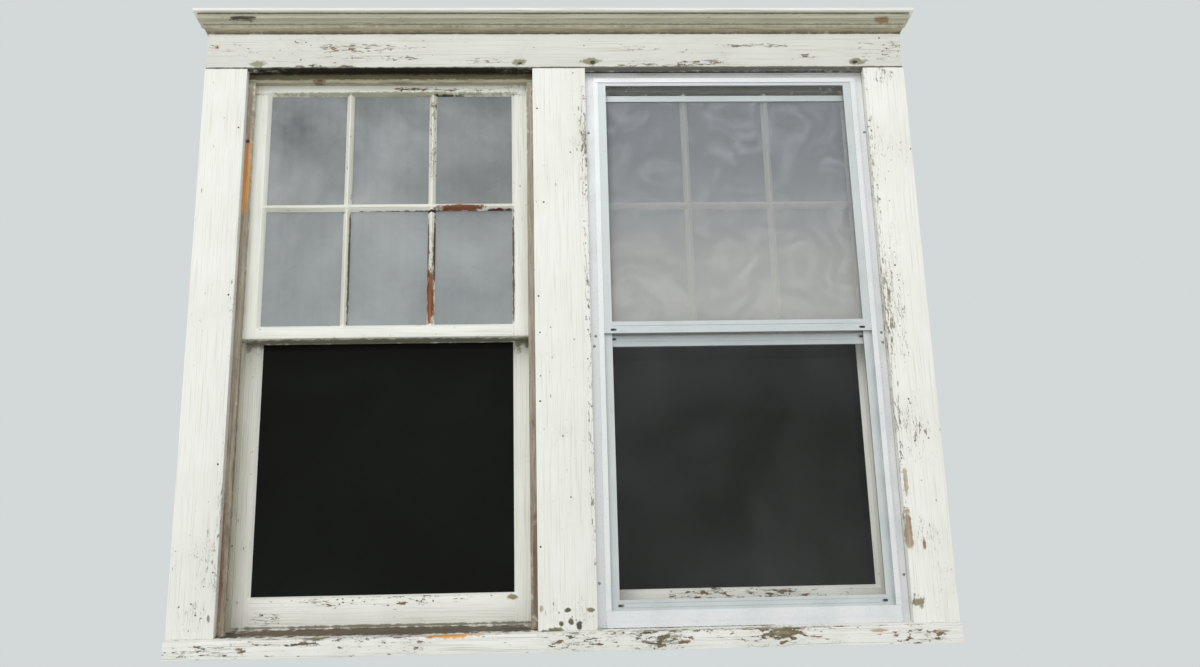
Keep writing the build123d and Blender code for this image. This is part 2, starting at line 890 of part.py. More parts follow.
y_cut = (y_lower - overcut, y_lower + sash_thickness + overcut)
for unit, centre in units:
    z_low = z_seat - blank_foot
    sight_z = (z_seat + bottom_rail, z_meet - meeting_rail)
    lights = [((centre - half_sight, centre + half_sight), sight_z)]
    blank = sash_blank(centre, y_lower, z_low, z_meet, lights, z_meet - knot_drop)
    with BuildPart() as bevelled:
        add(blank)
        add(
            along_x(
                (
                    (y_cut[0], z_low - overcut),
                    (y_cut[1], z_low - overcut),
                    (y_cut[1], sill_top(y_cut[1]) + sash_seat_gap),
                    (y_cut[0], sill_top(y_cut[0]) + sash_seat_gap),
                ),
                centre - half_opening,
                centre + half_opening,
            ),
            mode=Mode.SUBTRACT,
        )
    lip = along_x(
        (
            (lip_low + meeting_gap, sight_z[1]),
            (y_lower, sight_z[1]),
            (y_lower, z_meet),
            (lip_low + meeting_gap - meeting_bevel, z_meet),
        ),
        centre - lip_half,
        centre + lip_half,
    )
    meeting_pair = (sight_z[1], z_meet)
    rails = (
        ((z_low, sight_z[0]), (z_seat + tenon_inset, sight_z[0]), ()),
        (meeting_pair, meeting_pair, (lip,)),
    )
    members = sash_members(bevelled.part, centre, y_lower, z_low, z_meet, rails)
    write(f"{unit}_lower_sash", members)
    write_part(f"{unit}_lower_pane", pane(lights[0][0], lights[0][1], y_lower))

    # Sash lock on the meeting rails: base and cam on the lower one, keeper on the upper one
    y_pivot = lip_low - meeting_bevel + cam_hub / 2 + lock_set_back
    with BuildPart() as lock_base:
        with BuildSketch(Plane(origin=(centre, y_pivot, z_meet), z_dir=(0, 0, 1))):
            SlotOverall(lock_length, lock_depth)
        extrude(amount=lock_plate)
        with BuildSketch(Plane(origin=(centre, y_pivot, z_meet + lock_plate), z_dir=(0, 0, 1))):
            Circle(lock_post / 2)
        extrude(amount=cam_height + 2 * wheel_play)
        cap_height = z_meet + lock_plate + cam_height + 2 * wheel_play
        with BuildSketch(Plane(origin=(centre, y_pivot, cap_height), z_dir=(0, 0, 1))):
            Circle(lock_cap / 2)
        extrude(amount=lock_cap_height)
        fillet(lock_base.edges().sort_by(Axis.Z)[-1], radius=lock_cap_round)
    write_part(f"{unit}_lock_base", lock_base.part)

    z_cam = z_meet + lock_plate + wheel_play
    with BuildPart() as cam:
        with BuildSketch(Plane(origin=(centre, y_pivot, z_cam), z_dir=(0, 0, 1))):
            Circle(cam_hub / 2)
        extrude(amount=cam_height)
        fillet(cam.edges().sort_by(Axis.Z)[-1], radius=cam_round)
        with BuildSketch(Plane(origin=(centre, y_pivot, z_cam + cam_foot), z_dir=(0, 0, 1))):
            with BuildLine():
                curve = CenterArc((0, 0), cam_tongue, tongue_start, tongue_sweep)
                Polyline(curve @ 1, (0, 0), curve @ 0)
            make_face()
        extrude(amount=tongue_thickness)
        with BuildSketch(Plane(origin=(centre, y_pivot, z_cam + cam_foot), z_dir=(0, 0, 1))):
            with Locations((-cam_lever / 2, 0)):
                SlotOverall(cam_lever, lever_width)
        extrude(amount=lever_thickness)
        with BuildSketch(Plane(origin=(centre, y_pivot, z_cam + cam_foot), z_dir=(0, 0, 1))):
            with Locations((lever_width / 2 - cam_lever, 0)):
                Circle(lever_width / 2)
        extrude(amount=knob_height)
        with BuildSketch(Plane(origin=(centre, y_pivot, z_cam), z_dir=(0, 0, 1))):
            Circle(lock_post / 2 + pin_play)
        extrude(amount=cam_height, mode=Mode.SUBTRACT)
    write_part(f"{unit}_lock_cam", cam.part)

    y_keeper = y_pivot - cam_tongue - keeper_gap
    z_hook = z_meet + keeper_height
    half_hook = lock_length / 2 - keeper_hook_inset
    with BuildPart() as keeper:
        add(
            block(
                (
                    centre - lock_length / 2 + keeper_inset,
                    centre + lock_length / 2 - keeper_inset,
                ),
                (y_keeper, y_keeper + keeper_depth),
                (z_meet, z_meet + lock_plate),
            )
        )
        add(
            along_x(
                (
                    (y_keeper, z_meet),
                    (y_keeper + keeper_wall, z_meet),
                    (y_keeper + keeper_wall, z_hook - keeper_wall),
                    (y_keeper + keeper_hook, z_hook - keeper_wall),
                    (y_keeper + keeper_hook, z_hook),
                    (y_keeper, z_hook),
                ),
                centre - half_hook,
                centre + half_hook,
            )
        )
    write_part(f"{unit}_lock_keeper", keeper.part)

    # Hook lifts on the room side of the bottom rail
    lifts = []
    y_lift = y_lower + sash_thickness
    z_lift = z_seat + lift_foot
    y_bend = y_lift + lift_reach - lift_bend
    y_tip = y_lift + lift_reach
    z_bend = z_lift + lift_bend
    z_tip = z_lift + lift_lip
    for side in sides:
        with BuildPart() as lift:
            with BuildSketch(Plane.YZ.offset(centre + side * lift_spacing / 2 - lift_width / 2)):
                with BuildLine():
                    Polyline(
                        (y_lift, z_lift + lift_height),
                        (y_lift, z_lift),
                        (y_bend, z_lift),
                    )
                    TangentArc((y_bend, z_lift), (y_tip, z_bend), tangent=(1, 0))
                    Polyline(
                        (y_tip, z_bend),
                        (y_tip, z_tip),
                        (y_tip - lift_metal, z_tip),
                        (y_tip - lift_metal, z_bend),
                    )
                    TangentArc(
                        (y_tip - lift_metal, z_bend),
                        (y_bend, z_lift + lift_metal),
                        tangent=(0, -1),
                    )
                    Polyline(
                        (y_bend, z_lift + lift_metal),
                        (y_lift + lift_metal, z_lift + lift_metal),
                        (y_lift + lift_metal, z_lift + lift_height),
                        (y_lift, z_lift + lift_height),
                    )
                make_face()
            extrude(amount=lift_width)
        lifts.append(lift.part)
    write(f"{unit}_sash_lifts", lifts)

# Storm frame of the right unit: folded aluminium with three tracks side by side
web_in = storm_flange - storm_flange_inset
y_fin = [-storm_outset + index * (storm_track + storm_metal) for index in range(4)]
y_storm_back = y_fin[3] + storm_metal
flange_y = (-storm_metal, 0)
z_header_web = z_blind - storm_metal - storm_play
z_lip = z_header_web - storm_header_fin
z_flange_top = z_casing - storm_flange_gap
storm_reach = half_opening - web_in - storm_member_play


def storm_side(side):
    """One side track: flange on the blind stop, web into the opening and four fins."""
    with BuildPart() as track:
        add(
            upright(
                (inside(unit_x, side, -storm_flange_inset), inside(unit_x, side, web_in)),
                *flange_y,
                z_flange_top,
            )
        )
        add(
            upright(
                (inside(unit_x, side, web_in - storm_metal), inside(unit_x, side, web_in)),
                y_fin[0],
                y_storm_back,
                z_header_web,
            )
        )
        for y in y_fin:
            add(
                block(
                    (inside(unit_x, side, web_in), inside(unit_x, side, web_in + storm_fin)),
                    (y, y + storm_metal),
                    (storm_sill_top + panel_seat_gap, z_lip - storm_play),
                )
            )
    return track.part


def storm_header():
    """Header: the same section turned, stepped over the head blind stop."""
    z_front_web = z_header_web + storm_header_step
    with BuildPart() as header:
        pieces = (
            ((-storm_metal, 0), (z_header_web, z_flange_top)),
            ((-storm_metal, y_storm_back), (z_header_web, z_header_web + storm_metal)),
            ((y_fin[0], 0), (z_front_web, z_front_web + storm_metal)),
            ((y_fin[0], y_fin[0] + storm_metal), (z_lip, z_front_web + storm_metal)),
            ((y_fin[2], y_fin[2] + storm_metal), (z_lip, z_header_web + storm_metal)),
            ((y_fin[3], y_fin[3] + storm_metal), (z_lip, z_header_web + storm_metal)),
        )
        for y_pair, z_pair in pieces:
            add(block((unit_x - storm_reach, unit_x + storm_reach), y_pair, z_pair))
    return header.part


def storm_sill_bar():
    """Bottom member: a cover over the sill with an outer leg inside the expander."""
    y_out = y_fin[0]
    leg = sill_top(y_out) + storm_leg_gap
    outline = (
        (y_out, leg),
        (y_out + storm_metal, leg),
        (y_out + storm_metal, storm_sill_top - storm_metal),
        (y_storm_back - storm_metal, storm_sill_top - storm_metal),
        (y_storm_back - storm_metal, storm_sill_top - storm_sill_band),
        (y_storm_back, storm_sill_top - storm_sill_band),
        (y_storm_back, storm_sill_top),
        (y_out, storm_sill_top),
    )
    return along_x(outline, unit_x - storm_reach, unit_x + storm_reach)


def expander():
    """Channel pushed down over the sill bar's leg onto the wooden sill."""
    y_out = y_fin[0] - (expander_depth - storm_metal) / 2
    y_in = y_out + expander_depth
    out_face = y_out + expander_metal
    in_face = y_in - expander_metal
    top = storm_sill_top - storm_sill_band - expander_top_gap
    foot = sill_top(y_in) + expander_metal
    outline = (
        (y_out, sill_top(y_out) + storm_play),
        (out_face, sill_top(out_face) + storm_play),
        (out_face, foot),
        (in_face, foot),
        (in_face, sill_top(y_in) + storm_play),
        (y_in, sill_top(y_in) + storm_play),
        (y_in, top),
        (in_face, top),
        (in_face, foot + expander_metal),
        (out_face, foot + expander_metal),
        (out_face, top),
        (y_out, top),
    )
    return along_x(outline, unit_x - storm_reach, unit_x + storm_reach)


storm_members = [storm_side(-1), storm_side(1), storm_header(), storm_sill_bar(), expander()]
write("storm_frame", storm_members)

# Storm panels: extruded frames in their tracks, with a latch at each end of the bottom rail
panel_half = half_opening - web_in - panel_side_play
panel_play = (storm_track - panel_thickness) / 2


def panel_latch(side, y_panel, z_latch):
    """Flat bolt with a low thumb tab, in a slot through the stile into the rail."""
    tip = panel_half + latch_reach
    y_mid = y_panel + panel_thickness / 2
    with BuildPart() as latch:
        add(
            block(
                (unit_x + side * tip, unit_x + side * (tip - latch_length)),
                (y_mid - latch_thickness / 2, y_mid + latch_thickness / 2),
                (z_latch - latch_height / 2, z_latch + latch_height / 2),
            )
        )
        tab_x = unit_x + side * (tip - latch_length + latch_tab_inset)
        with BuildSketch(facing_room(tab_x, y_mid, z_latch)):
            SlotOverall(latch_tab_width, latch_tab_height)
        extrude(amount=panel_thickness / 2 + latch_tab)
    return latch.part


def latch_void(side, y_panel, z_latch):
    """Slot for a latch, with an oval window outside and a slot for the tab inside."""
    y_mid = y_panel + panel_thickness / 2
    tip = panel_half + latch_reach
    end = tip - latch_length - latch_travel - latch_play
    window_x = unit_x + side * (tip - latch_length + latch_tab_inset - latch_travel / 2)
    half_height = latch_height / 2 + latch_play
    half_thick = latch_thickness / 2 + latch_play
    with BuildPart() as void:
        add(
            block(
                (unit_x + side * (tip + overcut), unit_x + side * end),
                (y_mid - half_thick, y_mid + half_thick),
                (z_latch - half_height, z_latch + half_height),
            )
        )
        with BuildSketch(facing_room(window_x, y_panel - overcut, z_latch)):
            SlotOverall(
                latch_tab_width + latch_travel + 2 * latch_play,
                latch_tab_height + 2 * latch_play,
            )
        extrude(amount=panel_thickness + 2 * overcut)
    return void.part


def panel_frame(y_panel, z_pair, rails, stile_width, filling, grooves, z_latch):
    """Two stiles and two rails of a panel; filling is the thickness and bite of what they hold."""
    low, high = z_pair
    y_pair = (y_panel, y_panel + panel_thickness)
    y_mid = y_panel + panel_thickness / 2
    sight_half = panel_half - stile_width
    sight = (low + rails[0], high - rails[1])
    thickness, bite = filling
    hold = block(
        (unit_x - sight_half - bite, unit_x + sight_half + bite),
        (y_mid - thickness / 2, y_mid + thickness / 2),
        (sight[0] - bite, sight[1] + bite),
    )
    spans = [
        ((unit_x + side * panel_half, unit_x + side * sight_half), z_pair) for side in sides
    ]
    spans.append(((unit_x - sight_half, unit_x + sight_half), (low, sight[0])))
    spans.append(((unit_x - sight_half, unit_x + sight_half), (sight[1], high)))
    members = []
    for x_pair, z_span in spans:
        with BuildPart() as member:
            add(block(x_pair, y_pair, z_span))
            add(hold, mode=Mode.SUBTRACT)
            for side in sides:
                add(latch_void(side, y_panel, z_latch), mode=Mode.SUBTRACT)
            for z_groove in grooves:
                if z_span[0] < z_groove < z_span[1] and x_pair[0] < unit_x < x_pair[1]:
                    add(
                        block(
                            x_pair,
                            (y_panel, y_panel + panel_groove),
                            (z_groove - panel_groove, z_groove + panel_groove),
                        ),
                        mode=Mode.SUBTRACT,
                    )
        members.append(member.part)
    return members


def panel_filling(y_panel, z_pair, rails, stile_width, filling):
    """Pane or mesh that a panel frame holds."""
    thickness, bite = filling
    reach = bite - glass_play
    y_mid = y_panel + panel_thickness / 2
    sight_half = panel_half - stile_width + reach
    return block(
        (unit_x - sight_half, unit_x + sight_half),
        (y_mid - thickness / 2, y_mid + thickness / 2),
        (z_pair[0] + rails[0] - reach, z_pair[1] - rails[1] + reach),
    )


y_tracks = [y + storm_metal + panel_play for y in y_fin[:3]]
lower_panel_bottom = storm_sill_top + panel_seat_gap
storm_panels = (
    (
        "storm_upper",
        "glass",
        y_tracks[0],
        (storm_upper_bottom, storm_upper_bottom + panel_height),
        (panel_meeting_rail, panel_top_rail),
        panel_stile,
        (storm_glass, storm_glass_bite),
        (storm_upper_bottom + storm_upper_groove,),
        storm_upper_bottom + storm_upper_latch_height,
    ),
    (
        "storm_lower",
        "glass",
        y_tracks[1],
        (lower_panel_bottom, lower_panel_bottom + panel_height),
        (panel_bottom_rail, panel_top_rail),
        panel_stile,
        (storm_glass, storm_glass_bite),
        [lower_panel_bottom + groove for groove in storm_lower_grooves],
        lower_panel_bottom + storm_lower_latch_height,
    ),
    (
        "screen",
        "mesh",
        y_tracks[2],
        (screen_bottom, screen_bottom + screen_height),
        (screen_bottom_rail, screen_top_rail),
        screen_stile,
        (mesh_thickness, storm_glass_bite),
        (screen_bottom + screen_groove,),
        screen_bottom + screen_latch_height,
    ),
)
for name, kind, y_panel, z_pair, rails, stile_width, filling, grooves, z_latch in storm_panels:
    frame = panel_frame(y_panel, z_pair, rails, stile_width, filling, grooves, z_latch)
    write(f"{name}_rails", frame)
    write_part(f"{name}_{kind}", panel_filling(y_panel, z_pair, rails, stile_width, filling))
    for side, hand in zip(sides, ("left", "right")):
        write_part(f"{name}_{hand}_latch", panel_latch(side, y_panel, z_latch))
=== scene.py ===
"""Looks of a twin sash window in its frame: wooden sashes hung on cords under one painted head,
and an aluminium storm window over the right-hand pair. Metres, in the frame of the CAD part:
X along the wall, Y into the room, Z up.
"""

import math
import random

import bmesh
import bpy
from mathutils import Matrix, Vector


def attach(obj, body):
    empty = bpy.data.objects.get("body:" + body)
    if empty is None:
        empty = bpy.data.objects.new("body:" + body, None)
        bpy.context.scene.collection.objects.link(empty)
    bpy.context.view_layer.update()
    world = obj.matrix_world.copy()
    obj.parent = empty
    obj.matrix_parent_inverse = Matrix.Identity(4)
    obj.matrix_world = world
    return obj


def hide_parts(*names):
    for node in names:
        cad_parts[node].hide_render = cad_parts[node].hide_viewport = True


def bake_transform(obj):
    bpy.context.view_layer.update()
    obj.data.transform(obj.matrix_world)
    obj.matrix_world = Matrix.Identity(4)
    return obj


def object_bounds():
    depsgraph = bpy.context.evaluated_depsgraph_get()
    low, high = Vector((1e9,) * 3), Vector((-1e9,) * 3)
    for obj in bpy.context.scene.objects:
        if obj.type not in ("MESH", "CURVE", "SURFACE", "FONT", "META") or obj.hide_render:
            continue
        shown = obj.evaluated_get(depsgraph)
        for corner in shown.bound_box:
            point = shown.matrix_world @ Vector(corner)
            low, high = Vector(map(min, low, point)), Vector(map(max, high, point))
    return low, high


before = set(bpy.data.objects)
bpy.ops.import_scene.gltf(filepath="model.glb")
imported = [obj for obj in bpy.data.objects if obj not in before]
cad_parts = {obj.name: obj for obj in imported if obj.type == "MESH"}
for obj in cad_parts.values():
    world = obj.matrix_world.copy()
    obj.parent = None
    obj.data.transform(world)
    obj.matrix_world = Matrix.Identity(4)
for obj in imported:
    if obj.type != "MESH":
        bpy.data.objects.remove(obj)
cad_low, cad_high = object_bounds()

# Sill: one thick softwood board that slopes to the street and runs past both casings as horns.
# It was painted in place many times; rain has lifted the paint and mould sits in the chips.


def srgb(code):
    """Linear colour of an sRGB hex value."""
    values = [int(code[first : first + 2], 16) / 255 for first in (1, 3, 5)]
    linear = [v / 12.92 if v <= 0.04045 else ((v + 0.055) / 1.055) ** 2.4 for v in values]
    return (*linear, 1.0)


def add_node(tree, kind, links, out=0, **settings):
    """Adds a shader node with its settings, links and socket values, and returns one output,
    or nothing from a node that has none.
    """
    made = tree.nodes.new("ShaderNode" + kind)
    for key, value in settings.items():
        setattr(made, key, value)
    for key, value in links.items():
        if isinstance(value, bpy.types.NodeSocket):
            tree.links.new(value, made.inputs[key])
        else:
            made.inputs[key].default_value = value
    return made.outputs[out] if made.outputs else None


def new_tree(name):
    """A material of that name and its empty node tree."""
    material = bpy.data.materials.new(name)
    material.use_nodes = True
    material.node_tree.nodes.clear()
    return material, material.node_tree


def new_piece(name, shape, materials, smooth=False):
    """Makes a finished shape an object of the scene."""
    mesh = bpy.data.meshes.new(name)
    shape.to_mesh(mesh)
    shape.free()
    for material in materials:
        mesh.materials.append(material)
    if smooth:
        mesh.shade_smooth()
    piece = bpy.data.objects.new(name, mesh)
    bpy.context.scene.collection.objects.link(piece)
    return piece


def box_of(patch):
    """The lowest and the highest X, Y and Z of a solid's faces."""
    places = [corner.co for face in patch for corner in face.verts]
    low = [min(place[axis] for place in places) for axis in range(3)]
    high = [max(place[axis] for place in places) for axis in range(3)]
    return low, high


def middle_of(patch):
    """The middle of a solid, to a tenth of a millimetre."""
    return [round((low + high) / 2, 4) for low, high in zip(*box_of(patch))]


def patches(shape):
    """The separate solids of a mesh, faces joined over edges that exactly two faces share, from
    left to right, so that each run draws the same grain.
    """
    found = []
    waiting = set(shape.faces)
    for first in shape.faces:
        if first not in waiting:
            continue
        waiting.remove(first)
        patch = [first]
        for face in patch:
            for edge in face.edges:
                if len(edge.link_faces) == 2:
                    fresh = [other for other in edge.link_faces if other in waiting]
                    waiting.difference_update(fresh)
                    patch.extend(fresh)
        found.append(patch)
    return sorted(found, key=middle_of)


def timber(node, body, materials, ease=0.0008, hidden=None):
    """Stands in for a CAD node of wooden pieces, with eased arrises and a grain direction.

    Each solid gets the attribute "timber": metres along its length, then across it, from a start
    of its own. Faces for which hidden(middle, normal) is true take the second material.
    """
    arris_from = math.radians(33)
    sharp_from = math.radians(35)
    shape = bmesh.new()
    shape.from_mesh(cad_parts[node].data)
    bmesh.ops.remove_doubles(shape, verts=shape.verts, dist=1e-6)
    for patch in patches(shape):
        bmesh.ops.split(shape, geom=patch)
    bmesh.ops.dissolve_limit(
        shape, angle_limit=math.radians(1), verts=shape.verts, edges=shape.edges
    )
    arrises = [
        edge
        for edge in shape.edges
        if len(edge.link_faces) == 2 and edge.calc_face_angle() > arris_from
    ]
    bmesh.ops.bevel(
        shape,
        geom=arrises,
        offset=ease,
        segments=2,
        profile=0.5,
        affect="EDGES",
        material=-1,
        clamp_overlap=True,
    )
    grain = shape.verts.layers.float_vector.new("timber")
    chance = random.Random(node)
    for patch in patches(shape):
        low, high = box_of(patch)
        axes = sorted(range(3), key=lambda axis: low[axis] - high[axis])
        start = Vector((chance.uniform(0, 9), chance.uniform(0, 9), chance.uniform(0, 9)))
        for corner in {corner for face in patch for corner in face.verts}:
            corner[grain] = start + Vector([corner.co[axis] for axis in axes])
    if hidden:
        for face in shape.faces:
            if hidden(face.calc_center_median(), face.normal):
                face.material_index = 1
    piece = new_piece(node + "_timber", shape, materials, smooth=True)
    mesh = piece.data
    if mesh.attributes.get("custom_normal"):
        mesh.attributes.remove(mesh.attributes["custom_normal"])
    mesh.set_sharp_from_angle(angle=sharp_from)
    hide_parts(node)
    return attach(piece, body)


def near(tree, place, centre, radii, noise):
    """A mask of 1 at a place's middle and 0 outside its radii, with a ragged edge."""
    local = add_node(
        tree,
        "Mapping",
        {"Vector": place, "Location": centre, "Scale": radii},
        vector_type="TEXTURE",
    )
    far = add_node(tree, "VectorMath", {0: local}, out=1, operation="LENGTH")
    ragged = add_node(tree, "Math", {0: noise, 1: 1.4, 2: far}, operation="MULTIPLY_ADD")
    links = {"Value": ragged, "From Min": 1.15, "From Max": 1.5, "To Min": 1.0, "To Max": 0.0}
    return add_node(tree, "MapRange", links, interpolation_type="SMOOTHSTEP")


def aged_paint(name, paint, grime, wood, crack, chip, speck, worn=(), marks=()):
    """Old oil paint on softwood, which gives the eye a chalky film with cracks along the grain,
    flakes off down to grey wood, and holds dots of mould.

    crack, chip and speck run from 0 to 1. A worn place has a centre, radii and a boost for both
    cracks and chips. A mark has a centre, radii, a colour and a strength.
    """
    material, tree = new_tree(name)
    timber_place = add_node(tree, "Attribute", {}, out="Vector", attribute_name="timber")
    place = add_node(tree, "TexCoord", {}, out="Object")

    # Blotches 150 mm across, and ragged edges 20 mm across for the places named
    blotch = add_node(tree, "TexNoise", {"Vector": place, "Scale": 6.5, "Detail": 3.0})
    ragged = add_node(
        tree, "TexNoise", {"Vector": place, "Scale": 55.0, "Detail": 5.0, "Roughness": 0.65}
    )
    wear = add_node(tree, "Math", {0: blotch, 1: 0.5}, operation="SUBTRACT")
    for centre, radii, boost in worn:
        mask = near(tree, place, centre, radii, ragged)
        wear = add_node(tree, "Math", {0: mask, 1: boost, 2: wear}, operation="MULTIPLY_ADD")

    # Brush strokes and grain: 90 mm long, 5 mm apart
    drawn = add_node(tree, "Mapping", {"Vector": timber_place, "Scale": (11.0, 200.0, 200.0)})
    stroke = add_node(tree, "TexNoise", {"Vector": drawn, "Scale": 1.0, "Detail": 4.0})

    # Cracks: 75 mm long and 9 mm apart, a little wider than the real ones so that they show
    split_place = add_node(tree, "Mapping", {"Vector": timber_place, "Scale": (13.0, 105.0, 105.0)})
    split = add_node(
        tree,
        "TexNoise",
        {"Vector": split_place, "Scale": 1.0, "Detail": 4.0, "Roughness": 0.55, "Distortion": 0.3},
    )
    off_middle = add_node(tree, "Math", {0: split, 1: 0.5}, operation="SUBTRACT")
    off_middle = add_node(tree, "Math", {0: off_middle}, operation="ABSOLUTE")
    width = add_node(
        tree, "Math", {0: wear, 1: 0.045, 2: 0.02 * crack - 0.013}, operation="MULTIPLY_ADD"
    )
    opened = add_node(tree, "Math", {0: width, 1: off_middle}, operation="SUBTRACT")
    links = {"Value": opened, "From Min": 0.0, "From Max": 0.006}
    cracks = add_node(tree, "MapRange", links, interpolation_type="SMOOTHSTEP")

    # Flakes: 25 mm long and 8 mm wide, sharp at their edges
    flake_place = add_node(tree, "Mapping", {"Vector": timber_place, "Scale": (40.0, 125.0, 125.0)})
    flake = add_node(
        tree, "TexNoise", {"Vector": flake_place, "Scale": 1.0, "Detail": 7.0, "Roughness": 0.62}
    )
    lifted = add_node(tree, "Math", {0: wear, 1: 0.26, 2: flake}, operation="MULTIPLY_ADD")
    limit = 0.74 - 0.2 * chip
    links = {"Value": lifted, "From Min": limit, "From Max": limit + 0.012}
    flakes = add_node(tree, "MapRange", links)
    # A band just round each flake, later darkened towards bare wood as a painted shadow of the lifted
    # edge
    links = {"Value": lifted, "From Min": limit - 0.03, "From Max": limit}
    flake_rim_shadow = add_node(tree, "MapRange", links)

    # Mould: dots 3 to 5 mm across on a 14 mm raster, in drifts
    dots_at = {"Vector": place, "Scale": 70.0, "Randomness": 1.0}
    dot = add_node(tree, "TexVoronoi", dots_at)
    pick = add_node(tree, "TexVoronoi", dots_at, out=1)
    drift = add_node(tree, "Math", {0: wear, 1: 0.9, 2: pick}, operation="MULTIPLY_ADD")
    least = 1.0 - 0.6 * speck
    chosen = add_node(tree, "MapRange", {"Value": drift, "From Min": least, "From Max": least + 0.04})
    links = {"Value": dot, "From Min": 0.1, "From Max": 0.2, "To Min": 1.0, "To Max": 0.0}
    dot = add_node(tree, "MapRange", links)
    mould = add_node(tree, "Math", {0: dot, 1: chosen}, operation="MULTIPLY")

    # Hairlines of dirt in the film: 150 mm long and 2.5 mm apart
    hair_place = add_node(tree, "Mapping", {"Vector": timber_place, "Scale": (6.5, 400.0, 400.0)})
    hair = add_node(tree, "TexNoise", {"Vector": hair_place, "Scale": 1.0, "Detail": 3.0})
    links = {"Value": hair, "From Min": 0.5, "From Max": 0.72, "To Max": 0.75}
    hair = add_node(tree, "MapRange", links)

    # Colour, from the film up: paint, dirt, painted shadow at the rim of each flake, bare wood,
    # cracks, mould, marks
    links = {"Value": blotch, "From Min": 0.42, "From Max": 0.72, "To Max": 0.55}
    dirt = add_node(tree, "MapRange", links)
    dirt = add_node(tree, "Math", {0: dirt, 1: stroke}, operation="MULTIPLY")
    dirt = add_node(tree, "Math", {0: dirt, 1: hair}, operation="MAXIMUM")
    colour = add_node(
        tree, "Mix", {0: dirt, 6: srgb(paint), 7: srgb(grime)}, out=2, data_type="RGBA"
    )
    links = {"Value": stroke, "From Min": 0.3, "From Max": 0.7, "To Min": 0.55, "To Max": 1.15}
    vein = add_node(tree, "MapRange", links)
    bare_wood_tone = add_node(tree, "VectorMath", {0: srgb(wood)[:3], 3: vein}, operation="SCALE")
    flake_rim_shadow = add_node(tree, "Math", {0: flake_rim_shadow, 1: 0.35}, operation="MULTIPLY")
    dark = add_node(tree, "Math", {0: cracks, 1: 0.7}, operation="MULTIPLY")
    coats = [(flake_rim_shadow, bare_wood_tone), (flakes, bare_wood_tone), (dark, srgb("#5A5344")), (mould, srgb("#3E3D2C"))]
    for centre, radii, code, strength in marks:
        mask = near(tree, place, centre, radii, ragged)
        mask = add_node(tree, "Math", {0: mask, 1: strength}, operation="MULTIPLY")
        tint = add_node(tree, "VectorMath", {0: srgb(code)[:3], 3: vein}, operation="SCALE")
        coats.append((mask, tint))
    for share, coat in coats:
        colour = add_node(tree, "Mix", {0: share, 6: colour, 7: coat}, out=2, data_type="RGBA")

    # Relief: strokes, a paint film 0.4 mm thick, cracks through it
    film = add_node(tree, "Math", {0: flakes, 1: -1.0, 2: 1.0}, operation="MULTIPLY_ADD")
    film = add_node(tree, "Math", {0: cracks, 1: -0.8, 2: film}, operation="MULTIPLY_ADD")
    relief = add_node(tree, "Math", {0: stroke, 1: 0.5, 2: film}, operation="MULTIPLY_ADD")
    normal = add_node(tree, "Bump", {"Height": relief, "Strength": 0.7, "Distance": 0.0004})
    rough = add_node(tree, "MapRange", {"Value": flakes, "To Min": 0.58, "To Max": 0.85})
    links = {"Base Color": colour, "Roughness": rough, "Normal": normal, "Specular IOR Level": 0.35}
    surface = add_node(tree, "BsdfPrincipled", links)
    add_node(tree, "OutputMaterial", {"Surface": surface})
    return material


def bare_pine(name, light, dark, stain):
    """Sawn pine that was never painted, which gives the eye straight grain, saw marks and damp."""
    material, tree = new_tree(name)
    timber_place = add_node(tree, "Attribute", {}, out="Vector", attribute_name="timber")

    # Grain lines 8 mm apart and 300 mm long, bent by a slow drift, and damp in patches of 200 mm
    drawn = add_node(tree, "Mapping", {"Vector": timber_place, "Scale": (3.3, 120.0, 60.0)})
    links = {"Vector": drawn, "Scale": 1.0, "Detail": 5.0, "Roughness": 0.6, "Distortion": 0.6}
    grain = add_node(tree, "TexNoise", links)
    ring = add_node(tree, "MapRange", {"Value": grain, "From Min": 0.35, "From Max": 0.65})
    colour = add_node(tree, "Mix", {0: ring, 6: srgb(light), 7: srgb(dark)}, out=2, data_type="RGBA")
    links = {"Vector": timber_place, "Scale": 5.0, "Detail": 4.0, "Roughness": 0.6}
    damp = add_node(tree, "TexNoise", links)
    links = {"Value": damp, "From Min": 0.5, "From Max": 0.75, "To Max": 0.7}
    damp = add_node(tree, "MapRange", links)
    colour = add_node(tree, "Mix", {0: damp, 6: colour, 7: srgb(stain)}, out=2, data_type="RGBA")

    # Saw marks: low ridges across the board, 16 mm apart
    links = {"Vector": timber_place, "Scale": 20.0, "Distortion": 1.5, "Detail": 2.0}
    saw = add_node(tree, "TexWave", links, bands_direction="X")
    relief = add_node(tree, "Math", {0: saw, 1: 0.4, 2: grain}, operation="MULTIPLY_ADD")
    normal = add_node(tree, "Bump", {"Height": relief, "Strength": 0.4, "Distance": 0.0004})
    links = {"Base Color": colour, "Roughness": 0.82, "Normal": normal}
    surface = add_node(tree, "BsdfPrincipled", links)
    add_node(tree, "OutputMaterial", {"Surface": surface})
    return material


